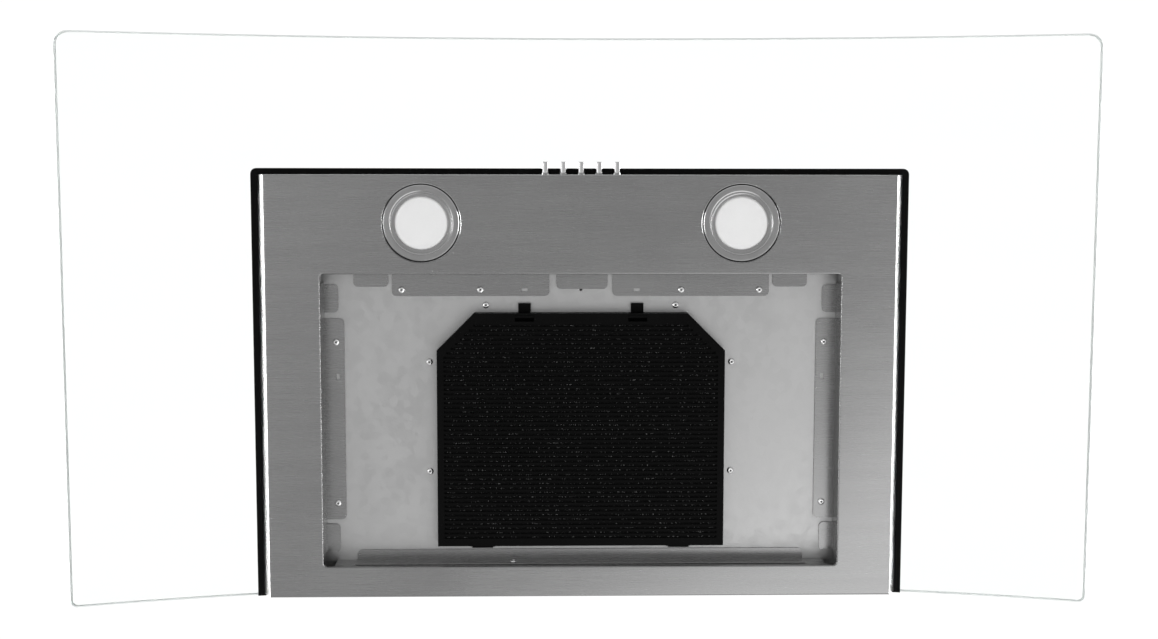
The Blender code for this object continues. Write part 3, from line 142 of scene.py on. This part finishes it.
# Name, place and target with heights from the hood's underside, size, watts, spread in degrees
LIGHTS = (("rear_right_card", (0.62, 0.50, -1.50), (0.2, -0.1, 0), (2.1, 1.7), 14, 180),
          ("left_box", (-1.5, -0.25, 0.40), (-0.3, -0.25, 0), (1.3, 1.2), 19, 60),
          ("right_box", (1.5, -0.25, 0.40), (0.3, -0.25, 0), (1.3, 1.2), 26, 60),
          ("left_card", (-1.3, -0.2, -1.2), (0, -0.2, 0), (0.8, 0.8), 2.5, 180))

FACES_ALONG_X = 0.6             # the least X of a normal whose face looks along X
PATTERN_LOW = 0.25              # a pattern's usual limits
PATTERN_HIGH = 0.75


# ---------------------------------------------------------------- finishes

def add(tree, kind, links=(), **values):
    """A shader node with its properties set and its inputs given as (input, value or socket)."""
    node = tree.nodes.new(kind)
    for name, value in values.items():
        setattr(node, name, value)
    for name, value in links:
        if isinstance(value, bpy.types.NodeSocket):
            tree.links.new(value, node.inputs[name])
        else:
            node.inputs[name].default_value = value
    return node


def coordinates(tree, crossed):
    """Object coordinates. If crossed, X and Y are swapped on faces that look along X, so that brushing runs
    along them."""
    place = tree.nodes.new("ShaderNodeTexCoord")
    if not crossed:
        return place.outputs["Object"]
    facing = add(tree, "ShaderNodeSeparateXYZ", [("Vector", place.outputs["Normal"])])
    along_x = add(tree, "ShaderNodeMath", [(0, facing.outputs["X"])], operation="ABSOLUTE")
    side = add(tree, "ShaderNodeMath", [(0, along_x.outputs[0]), (1, FACES_ALONG_X)],
               operation="GREATER_THAN")
    parts = add(tree, "ShaderNodeSeparateXYZ", [("Vector", place.outputs["Object"])])
    swapped = add(tree, "ShaderNodeCombineXYZ", [("X", parts.outputs["Y"]), ("Y", parts.outputs["X"]),
                                                 ("Z", parts.outputs["Z"])])
    mixed = add(tree, "ShaderNodeMix", data_type="VECTOR")
    tree.links.new(side.outputs[0], mixed.inputs["Factor"])
    tree.links.new(place.outputs["Object"], mixed.inputs[4])
    tree.links.new(swapped.outputs[0], mixed.inputs[5])
    return mixed.outputs[1]


def pattern(tree, place, kind, grain):
    """A value from 0 to 1 that varies over the grain's size in metres along each axis."""
    scale = tuple(1 / size for size in grain)
    spot = add(tree, "ShaderNodeMapping", [("Vector", place), ("Scale", scale)])
    if kind == "cells":
        cells = add(tree, "ShaderNodeTexVoronoi", [("Vector", spot.outputs[0]), ("Scale", 1.0)])
        return add(tree, "ShaderNodeRGBToBW", [("Color", cells.outputs["Color"])]).outputs[0]
    if kind == "pebbles":
        pebbles = add(tree, "ShaderNodeTexVoronoi", [("Vector", spot.outputs[0]), ("Scale", 1.0)])
        return pebbles.outputs["Distance"]
    noise = add(tree, "ShaderNodeTexNoise", [("Vector", spot.outputs[0]), ("Scale", 1.0), ("Detail", 3.0)])
    return noise.outputs[0]


def swung(tree, value, middle, swing):
    """A pattern's value carried to the range from middle - swing to middle + swing."""
    return add(tree, "ShaderNodeMapRange", [("Value", value), ("From Min", PATTERN_LOW),
                                            ("From Max", PATTERN_HIGH), ("To Min", middle - swing),
                                            ("To Max", middle + swing)]).outputs[0]


def surface(name, colour, roughness, layers, crossed=False, **sockets):
    """A Principled material. Each layer is (kind, grain, colour swing, roughness swing, bump height)."""
    made = bpy.data.materials.new(name)
    made.use_nodes = True
    tree = made.node_tree
    shader = tree.nodes["Principled BSDF"]
    for socket, value in sockets.items():
        shader.inputs[socket.replace("_", " ")].default_value = value
    place = coordinates(tree, crossed)
    tint, rough, bump = None, None, None
    for kind, grain, colour_swing, roughness_swing, height in layers:
        value = pattern(tree, place, kind, grain)
        if colour_swing:
            swing = swung(tree, value, 1, colour_swing)
            tint = swing if tint is None else add(
                tree, "ShaderNodeMath", [(0, tint), (1, swing)], operation="MULTIPLY").outputs[0]
        if roughness_swing:
            swing = swung(tree, value, 0, roughness_swing)
            start = roughness if rough is None else rough
            rough = add(tree, "ShaderNodeMath", [(0, start), (1, swing)], operation="ADD").outputs[0]
        if height:
            links = [("Height", value), ("Distance", height), ("Strength", 1.0)]
            bump = add(tree, "ShaderNodeBump", links + ([("Normal", bump)] if bump else [])).outputs[0]
    if tint:
        scaled = add(tree, "ShaderNodeVectorMath", [(0, colour), ("Scale", tint)], operation="SCALE")
        tree.links.new(scaled.outputs[0], shader.inputs["Base Color"])
    else:
        shader.inputs["Base Color"].default_value = (*colour, 1)
    shader.inputs["Roughness"].default_value = roughness
    if rough:
        tree.links.new(rough, shader.inputs["Roughness"])
    if bump:
        tree.links.new(bump, shader.inputs["Normal"])
    return made


def grey(value):
    return (value, value, value)


def even(size):
    """A pattern's grain that is the same along each axis."""
    return (size, size, size)


FINISHES = {
    "stainless_body": surface(
        "brushed_stainless", grey(0.30), 0.27,
        [("noise", (0.035, 0.0004, 0.0004), 0.05, 0.04, 0.000003),
         ("noise", (0.30, 0.010, 0.010), 0.03, 0.0, 0.0),
         ("noise", even(0.12), 0.04, 0.03, 0.0)], crossed=True, Metallic=1.0),
    "stainless_chimney": surface(
        "brushed_chimney", grey(0.42), 0.30,
        [("noise", (0.0008, 0.0008, 0.080), 0.05, 0.05, 0.000010),
         ("noise", (0.012, 0.012, 0.35), 0.03, 0.0, 0.0),
         ("noise", even(0.15), 0.03, 0.03, 0.0)], Metallic=1.0),
    "galvanised_steel": surface(
        "galvanised", grey(0.49), 0.42,
        [("cells", even(0.007), 0.025, 0.05, 0.0),
         ("noise", (0.030, 0.060, 0.060), 0.028, 0.03, 0.0),
         ("noise", even(0.0015), 0.015, 0.03, 0.000010)], Metallic=0.85),
    "chrome_trim": surface(
        "chrome", grey(0.62), 0.05,
        [("noise", even(0.020), 0.02, 0.03, 0.0),
         ("noise", even(0.0010), 0.0, 0.02, 0.0)],
        Metallic=1.0),
    "bright_steel": surface(
        "zinc_plated", (0.70, 0.70, 0.68), 0.24,
        [("noise", even(0.004), 0.05, 0.06, 0.0),
         ("noise", (0.0006, 0.0030, 0.0006), 0.03, 0.04, 0.000004)],
        Metallic=1.0),
    "rivet_aluminium": surface(
        "rivet_aluminium_bright", grey(0.90), 0.20,
        [("noise", even(0.0015), 0.04, 0.06, 0.000006)], Metallic=1.0),
    "lamp_aluminium": surface(
        "spun_aluminium", grey(0.38), 0.12,
        [("noise", (0.012, 0.012, 0.0004), 0.05, 0.06, 0.000008)], Metallic=1.0),
    "cast_aluminium": surface(
        "satin_aluminium", grey(0.68), 0.40,
        [("noise", even(0.0012), 0.06, 0.06, 0.000030),
         ("noise", even(0.03), 0.04, 0.04, 0.0)],
        Metallic=1.0),
    "canopy_glass": surface(
        "clear_glass", (0.985, 1.0, 0.992), 0.0,
        [("noise", (0.30, 0.045, 0.045), 0.004, 0.0, 0.000006)], Transmission_Weight=1.0, IOR=1.50),
    "lamp_lens": surface(
        "frosted_lens", grey(0.90), 0.50,
        [("noise", even(0.0006), 0.02, 0.05, 0.000020),
         ("noise", even(0.012), 0.015, 0.0, 0.0)],
        Emission_Color=(1, 1, 0.99, 1), Emission_Strength=0.05),
    "gasket_rubber": surface(
        "black_rubber", grey(0.003), 0.55,
        [("noise", even(0.0012), 0.20, 0.08, 0.000030),
         ("noise", even(0.04), 0.15, 0.05, 0.0)],
        Specular_IOR_Level=0.08),
    "filter_plastic": surface(
        "black_filter_plastic", grey(0.0035), 0.42,
        [("noise", even(0.0008), 0.15, 0.08, 0.000015),
         ("noise", (0.05, 0.02, 0.02), 0.15, 0.06, 0.0)],
        Specular_IOR_Level=0.04),
    "black_plastic": surface(
        "moulded_black_plastic", grey(0.006), 0.45,
        [("noise", even(0.0008), 0.15, 0.08, 0.000018),
         ("noise", even(0.03), 0.10, 0.05, 0.0)],
        Specular_IOR_Level=0.20),
    "grey_plastic": surface(
        "moulded_grey_plastic", (0.42, 0.43, 0.43), 0.46,
        [("noise", even(0.0008), 0.03, 0.07, 0.000018),
         ("noise", even(0.03), 0.03, 0.04, 0.0)]),
    "charcoal": surface(
        "charcoal_bed", grey(0.004), 0.85,
        [("pebbles", even(0.0022), 0.30, 0.0, 0.00050),
         ("noise", even(0.02), 0.2, 0.05, 0.0)],
        Specular_IOR_Level=0.12),
}
GROUND_EDGE = surface(
    "ground_glass_edge", (0.80, 0.83, 0.82), 0.45,
    [("noise", (0.02, 0.02, 0.001), 0.03, 0.06, 0.000010)])
GRANULE = surface(
    "charcoal_granule", grey(0.022), 0.18,
    [("noise", even(0.0007), 0.60, 0.12, 0.000050)], Specular_IOR_Level=0.90)
MANDREL = surface(
    "rivet_mandrel", grey(0.10), 0.45,
    [("noise", even(0.0006), 0.20, 0.10, 0.000010)], Metallic=1.0)
PAINTED_FLOOR = surface(
    "pale_floor", grey(0.48), 0.80,
    [("noise", even(0.5), 0.015, 0.03, 0.0)], Specular_IOR_Level=0.10)


# ---------------------------------------------------------------- pieces

def softened_edges():
    """Geometry nodes that join a CAD node's split faces and shade its round surfaces smooth."""
    tree = bpy.data.node_groups.new("softened_edges", "GeometryNodeTree")
    tree.interface.new_socket("Geometry", in_out="INPUT", socket_type="NodeSocketGeometry")
    tree.interface.new_socket("Geometry", in_out="OUTPUT", socket_type="NodeSocketGeometry")
    start = tree.nodes.new("NodeGroupInput")
    end = tree.nodes.new("NodeGroupOutput")
    weld = add(tree, "GeometryNodeMergeByDistance", [("Geometry", start.outputs[0]), ("Distance", JOINED)])
    angle = tree.nodes.new("GeometryNodeInputMeshEdgeAngle")
    sharp = add(tree, "FunctionNodeCompare", [(0, angle.outputs[0]), (1, SHARP)], data_type="FLOAT",
                operation="GREATER_THAN")
    shade = add(tree, "GeometryNodeSetMeshNormal", [(0, weld.outputs[0])], mode="SHARPNESS")
    shade.inputs["Remove Custom"].default_value = True
    tree.links.new(sharp.outputs[0], shade.inputs["Edge Sharpness"])
    shade.inputs["Face Sharpness"].default_value = False
    tree.links.new(shade.outputs[0], end.inputs[0])
    return tree


def slot_of(node):
    """The name of a CAD node's material slot."""
    return node.material_slots[0].material.name.split(".")[0]


def dress(node, edges):
    """A CAD node keeps its shape, and gets its finish, smooth round surfaces and even flat ones."""
    finish = FINISHES[slot_of(node)]
    node.material_slots[0].material = finish
    modifier = node.modifiers.new("softened_edges", "NODES")
    modifier.node_group = edges
    flat = node.modifiers.new("flat_faces", "WEIGHTED_NORMAL")
    flat.weight = 100
    flat.keep_sharp = True


def new_piece(name, bm, node, *materials):
    """A new piece of the given materials that rides with a CAD node's body."""
    for face in bm.faces:
        face.smooth = True
    mesh = bpy.data.meshes.new(name)
    bm.to_mesh(mesh)
    bm.free()
    mesh.set_sharp_from_angle(angle=SHARP)
    for material in materials:
        mesh.materials.append(material)
    piece = bpy.data.objects.new(name, mesh)
    bpy.context.scene.collection.objects.link(piece)
    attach(piece, node["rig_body"])
    return piece


def stands_for(name, bm, node_name, *materials):
    """A finer piece in place of a CAD node."""
    node = frame["nodes"][node_name]
    slot = slot_of(node)
    piece = new_piece(name, bm, node, *(materials or [FINISHES[slot]]))
    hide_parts(node_name)
    return piece


def fillet(previous, corner, following, radius):
    """Points that round a corner of a profile."""
    a, b, c = Vector(previous), Vector(corner), Vector(following)
    reach = min(radius, (a - b).length * FILLET_SHARE, (c - b).length * FILLET_SHARE)
    start, end = b + (a - b).normalized() * reach, b + (c - b).normalized() * reach
    shares = [step / FILLET_STEPS for step in range(FILLET_STEPS + 1)]
    return [tuple(start.lerp(b, t).lerp(b.lerp(end, t), t)) for t in shares]


def rounded(profile, radius):
    """A closed profile of (radius, height) with its corners rounded, except those on the axis."""
    made = []
    for i, point in enumerate(profile):
        if point[0] <= 0:
            made.append(point)
        else:
            made += fillet(profile[i - 1], point, profile[(i + 1) % len(profile)], radius)
    return made


def lathe(bm, profile, matrix, steps, material=0):
    """Spins a closed profile of (radius, height) about Z and places it by the matrix."""
    rings = []
    for radius, height in profile:
        if radius <= 0:
            rings.append([bm.verts.new(matrix @ Vector((0, 0, height)))])
        else:
            rings.append([bm.verts.new(matrix @ Vector((radius * math.cos(math.tau * i / steps),
                                                        radius * math.sin(math.tau * i / steps), height)))
                          for i in range(steps)])
    for lower, upper in zip(rings, rings[1:] + rings[:1]):
        for i in range(steps):
            j = (i + 1) % steps
            corners = [lower[i % len(lower)], lower[j % len(lower)],
                       upper[j % len(upper)], upper[i % len(upper)]]
            corners = list(dict.fromkeys(corners))
            if len(corners) > 2:
                bm.faces.new(corners).material_index = material
    bmesh.ops.recalc_face_normals(bm, faces=bm.faces)


def upright(centre):
    return Matrix.Translation(centre)


def towards_front(centre):
    """Carries a profile's height to +Y, as a button or a rivet in a vertical wall stands."""
    return Matrix.Translation(centre) @ Matrix.Rotation(-math.pi / 2, 4, "X")


def box_centre(name):
    low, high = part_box(name)
    return (low + high) / 2


def plan_loop(low, high, radii, inset):
    """A rectangle's outline with rounded corners, moved in by inset; radii start at low-low and go round."""
    centres = [(low[0], low[1], 1, 1), (high[0], low[1], -1, 1),
               (high[0], high[1], -1, -1), (low[0], high[1], 1, -1)]
    loop = []
    for quarter, ((x, y, to_x, to_y), radius) in enumerate(zip(centres, radii)):
        for step in range(CORNER_STEPS + 1):
            angle = math.pi + (quarter + step / CORNER_STEPS) * math.pi / 2
            loop.append((x + to_x * radius + (radius - inset) * math.cos(angle),
                         y + to_y * radius + (radius - inset) * math.sin(angle)))
    return loop


def polished_wall(bm, low, high, radii, outward):
    """A wall round an outline, as tall as the glass, with both edges rounded. Returns the edges of its ends."""
    levels = []
    for step in range(EDGE_STEPS + 1):
        turn = math.pi / 2 * step / EDGE_STEPS
        levels.append((GLASS_EDGE * (1 - math.sin(turn)), GLASS_EDGE * (1 - math.cos(turn))))
    levels += [(inset, GLASS_THICK - height) for inset, height in reversed(levels)]
    loops = []
    for inset, height in levels:
        outline = plan_loop(low, high, radii, inset * outward)
        loops.append([bm.verts.new((x, y, height)) for x, y in outline])
    for lower, upper in zip(loops, loops[1:]):
        for i in range(len(lower)):
            j = (i + 1) % len(lower)
            bm.faces.new((lower[i], lower[j], upper[j], upper[i])).material_index = 1
    ends = [loops[0], loops[-1]]
    return [[bm.edges.get((loop[i], loop[(i + 1) % len(loop)])) for i in range(len(loop))] for loop in ends]


def glass():
    """The canopy, arched in fine steps, with its edges polished round."""
    low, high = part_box("glass_canopy")
    half = (high.x - low.x) / 2
    sag = high.z - low.z - GLASS_THICK
    radius = (half ** 2 + sag ** 2) / (2 * sag)
    crown = high.z - GLASS_THICK
    hole_low, hole_high = cut_out()
    bm = bmesh.new()
    outer = polished_wall(bm, low, high, [GLASS_FRONT_CORNER] * 2 + [GLASS_REAR_CORNER] * 2, 1)
    inner = polished_wall(bm, hole_low, hole_high, [GLASS_FRONT_CORNER] * 4, -1)
    for outer_edges, inner_edges in zip(outer, inner):
        bmesh.ops.triangle_fill(bm, edges=outer_edges + inner_edges, use_beauty=False)
    for i in range(1, ARCH_STEPS):
        x = -half + 2 * half * i / ARCH_STEPS
        bmesh.ops.bisect_plane(bm, geom=bm.verts[:] + bm.edges[:] + bm.faces[:], plane_co=(x, 0, 0),
                               plane_no=(1, 0, 0), dist=ARCH_CUT_NEAR)
    for vert in bm.verts:
        vert.co.z = crown - radius + math.sqrt((radius + vert.co.z) ** 2 - vert.co.x ** 2)
    bmesh.ops.recalc_face_normals(bm, faces=bm.faces)
    stands_for("canopy", bm, "glass_canopy", FINISHES["canopy_glass"], GROUND_EDGE)


def cut_out():
    """The corners of the canopy's cut-out, found on its CAD node: the inner points of its outline."""
    node = frame["nodes"]["glass_canopy"]
    low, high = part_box("glass_canopy")
    inside = [v.co for v in node.data.vertices
              if min(v.co.x - low.x, high.x - v.co.x, v.co.y - low.y, high.y - v.co.y) > CUT_OUT_MARGIN]
    return ((min(p.x for p in inside), min(p.y for p in inside)),
            (max(p.x for p in inside), max(p.y for p in inside)))


def lamps():
    """Bezel rings with a black ring of painted shade in their groove, and frosted lenses, turned finely."""
    for side in ("left", "right"):
        name = f"lamp_bezel_{side}"
        low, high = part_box(name)
        centre = box_centre(name)
        rim = (high.x - low.x) / 2
        top = high.z - low.z
        lens_low, lens_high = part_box(f"lamp_lens_{side}")
        lens_r = (lens_high.x - lens_low.x) / 2 - LENS_FLANGE
        bore = lens_r + LENS_ROOM
        shell = lens_r + SHELL_OUT
        lip = rim - RIM_WIDE
        ring_out = lip - GROOVE_WIDE
        bezel = [(bore, BEZEL_SEAT), *BEZEL_CURVE, (ring_out - RING_CHAMFER, 0.0), (ring_out, RING_CHAMFER),
                 (ring_out, BEZEL_SEAT), (lip, BEZEL_SEAT), (lip, RIM_INNER), (rim, RIM_OUTER),
                 (rim, RIM_REAR), (shell, RIM_REAR), (shell, top), (shell - SHELL_THICK, top),
                 (shell - SHELL_THICK, LENS_SEAT), (bore, LENS_SEAT)]
        bm = bmesh.new()
        lathe(bm, rounded(bezel, BEZEL_ROUND), upright((centre.x, centre.y, low.z)), LAMP_STEPS)
        # The black rubber ring in the groove's floor is painted shade: it stands in for the shadow deep in the
        # groove.
        groove_shade_in, groove_shade_out = ring_out + GROOVE_SHADE_ROOM, lip - GROOVE_SHADE_ROOM
        groove_shade_front, groove_shade_rear = BEZEL_SEAT - GROOVE_SHADE_FRONT, BEZEL_SEAT - GROOVE_SHADE_REAR
        groove_shade = [(groove_shade_in, groove_shade_front), (groove_shade_out, groove_shade_front), (groove_shade_out, groove_shade_rear), (groove_shade_in, groove_shade_rear)]
        lathe(bm, groove_shade, upright((centre.x, centre.y, low.z)), LAMP_STEPS, material=1)
        stands_for(f"lamp_ring_{side}", bm, name, FINISHES["lamp_aluminium"], FINISHES["gasket_rubber"])
        depth = lens_high.z - lens_low.z
        flange = depth - LENS_FLANGE_THICK
        lens = [(0, 0), *((lens_r * share, height) for share, height in LENS_FACE), (lens_r, flange),
                (lens_r + LENS_FLANGE, flange), (lens_r + LENS_FLANGE, depth), (0, depth)]
        bm = bmesh.new()
        lathe(bm, rounded(lens, LENS_ROUND), upright((centre.x, centre.y, lens_low.z)), LAMP_STEPS)
        stands_for(f"frosted_lens_{side}", bm, f"lamp_lens_{side}")


def buttons():
    """Chrome push buttons with rounded, slightly dished ends."""
    for name in [n for n in frame["nodes"] if n.startswith("button_")]:
        low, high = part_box(name)
        centre = box_centre(name)
        cap = (high.x - low.x) / 2
        length = high.y - low.y
        cap_long = length - STEM_LONG
        profile = [*((cap * share, height) for share, height in BUTTON_FACE), (cap, cap_long),
                   (STEM_R, cap_long), (STEM_R, length), (0, length)]
        bm = bmesh.new()
        place = towards_front((centre.x, low.y, centre.z))
        lathe(bm, rounded(profile, BUTTON_ROUND), place, BUTTON_STEPS)
        stands_for(name.replace("button", "push_button"), bm, name)


def rivets():
    """Blind rivets: a domed head with the end of its mandrel sunk in the middle."""
    for name in [n for n in frame["nodes"] if "rivet" in n]:
        low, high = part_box(name)
        centre = box_centre(name)
        head = (high.x - low.x) / 2
        if name == "rail_rivet":
            length = high.y - low.y
            place = towards_front((centre.x, low.y, centre.z))
        else:
            length = high.z - low.z
            place = upright((centre.x, centre.y, low.z))
        profile = [*RIVET_WELL, *((head * share, height) for share, height in RIVET_DOME),
                   (head, RIVET_HEAD_THICK), (RIVET_SHANK_R, RIVET_HEAD_THICK), (RIVET_SHANK_R, length),
                   (0, length)]
        bm = bmesh.new()
        lathe(bm, rounded(profile, RIVET_ROUND), place, RIVET_STEPS)
        lathe(bm, MANDREL_END, place, MANDREL_STEPS, material=1)
        stands_for(name.replace("rivet", "blind_rivet"), bm, name, FINISHES["rivet_aluminium"], MANDREL)


def latch_covers():
    """A thin sheet over each latch's pocket, on the cassette's back."""
    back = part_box("filter_back")[1].z
    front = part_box("filter_frame")[0].y
    for side in ("left", "right"):
        low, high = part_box(f"filter_latch_{side}")
        middle = (low.x + high.x) / 2
        reach = high.x - low.x
        outline = plan_loop((middle - reach, front + COVER_FRONT_ROOM),
                            (middle + reach, high.y + COVER_REAR_PAST), [COVER_CORNER] * 4, 0)
        bm = bmesh.new()
        levels = [[bm.verts.new((x, y, back + rise)) for x, y in outline] for rise in COVER_FACES]
        for i in range(len(outline)):
            j = (i + 1) % len(outline)
            bm.faces.new((levels[0][i], levels[0][j], levels[1][j], levels[1][i]))
        bm.faces.new(levels[0])
        bm.faces.new(levels[1])
        bmesh.ops.recalc_face_normals(bm, faces=bm.faces)
        cassette = frame["nodes"]["filter_frame"]
        piece = new_piece(f"latch_cover_{side}", bm, cassette, FINISHES["filter_plastic"])


def slat_slots():
    """The slots between the cassette's slats, (front, rear, half length), found on its lower face."""
    node = frame["nodes"]["filter_frame"]
    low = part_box("filter_frame")[0]
    reach = {}
    for vert in node.data.vertices:
        if vert.co.z - low.z < LEVEL:
            y = round(vert.co.y, 5)
            reach[y] = max(reach.get(y, 0), abs(vert.co.x))
    rows = sorted(reach)
    pairs = [(a, b) for a, b in zip(rows, rows[1:]) if SLOT_NARROWEST < b - a < SLOT_WIDEST]
    return [(a, b, min(reach[a], reach[b])) for a, b in pairs]


def granules():
    """Loose charcoal, lying in the slots on the pad's face."""
    rng = random.Random(GRANULE_SEED)
    pad_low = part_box("carbon_pad")[0].z
    shape = bmesh.new()
    bmesh.ops.create_icosphere(shape, subdivisions=1, radius=1)
    corners = [vert.co.copy() for vert in shape.verts]
    sides = [[vert.index for vert in face.verts] for face in shape.faces]
    shape.free()
    points, faces = [], []
    for front, rear, half in slat_slots():
        for _ in range(int(half * 2 / GRANULE_PITCH)):
            size = rng.uniform(*GRANULE_SIZES)
            spot = Vector((rng.uniform(-half + SLOT_END_ROOM, half - SLOT_END_ROOM),
                           rng.uniform(front + size, rear - size), pad_low + rng.uniform(*GRANULE_RISE)))
            turn = Matrix.Rotation(rng.uniform(0, math.tau), 3, Vector([rng.gauss(0, 1) for _ in range(3)]))
            first = len(points)
            points += [spot + turn @ corner * size * rng.uniform(*GRANULE_CORNERS) for corner in corners]
            faces += [[first + i for i in side] for side in sides]
    mesh = bpy.data.meshes.new("charcoal_granules")
    mesh.from_pydata(points, [], faces)
    mesh.materials.append(GRANULE)
    piece = bpy.data.objects.new("charcoal_granules", mesh)
    bpy.context.scene.collection.objects.link(piece)
    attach(piece, frame["nodes"]["carbon_pad"]["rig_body"])


# ---------------------------------------------------------------- studio

def camera():
    """Below the hood, looking up and slightly towards the wall."""
    made = bpy.data.cameras.new("camera")
    made.sensor_width = SENSOR
    made.lens = FOCAL_LENGTH
    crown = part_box("glass_canopy")[1].z - GLASS_THICK
    forward = Vector(VIEW_FORWARD).normalized()
    right = Vector(VIEW_RIGHT)
    right = (right - forward * right.dot(forward)).normalized()
    up = right.cross(forward)
    rotation = Matrix((right, up, -forward)).transposed()
    obj = bpy.data.objects.new("camera", made)
    obj.matrix_world = Matrix.Translation((CAMERA_X, CAMERA_Y, crown - CAMERA_DROP)) @ rotation.to_4x4()
    bpy.context.scene.collection.objects.link(obj)
    bpy.context.scene.camera = obj


def floor(z):
    """A plain pale floor."""
    bm = bmesh.new()
    bmesh.ops.create_grid(bm, x_segments=1, y_segments=1, size=FLOOR_HALF,
                           matrix=Matrix.Translation((0, 0, z)))
    mesh = bpy.data.meshes.new("floor")
    bm.to_mesh(mesh)
    bm.free()
    mesh.materials.append(PAINTED_FLOOR)
    made = bpy.data.objects.new("floor", mesh)
    bpy.context.scene.collection.objects.link(made)


def soft_light(name, place, target, size, watts, spread):
    """A rectangular lamp that faces its target; the spread is in degrees."""
    made = bpy.data.lights.new(name, "AREA")
    made.shape = "RECTANGLE"
    made.size, made.size_y = size
    made.energy = watts
    made.spread = math.radians(spread)
    obj = bpy.data.objects.new(name, made)
    obj.location = place
    obj.rotation_euler = (Vector(target) - Vector(place)).to_track_quat("-Z", "Y").to_euler()
    bpy.context.scene.collection.objects.link(obj)


def studio():
    """A white surround, the floor, and soft lamps round the hood."""
    world = bpy.data.worlds.new("studio")
    world.use_nodes = True
    background = world.node_tree.nodes["Background"]
    background.inputs["Color"].default_value = (1, 1, 1, 1)
    background.inputs["Strength"].default_value = SURROUND
    scene = bpy.context.scene
    scene.world = world
    scene.view_settings.view_transform = "Standard"
    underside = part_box("body_pan")[0].z
    floor(underside - FLOOR_DROP)
    for name, place, target, size, watts, spread in LIGHTS:
        place, target = ((x, y, underside + rise) for x, y, rise in (place, target))
        soft_light(name, place, target, size, watts, spread)


def main():
    edges = softened_edges()
    glass()
    lamps()
    buttons()
    rivets()
    latch_covers()
    granules()
    for node in frame["nodes"].values():
        if not node.hide_render:
            dress(node, edges)
    camera()
    studio()


main()
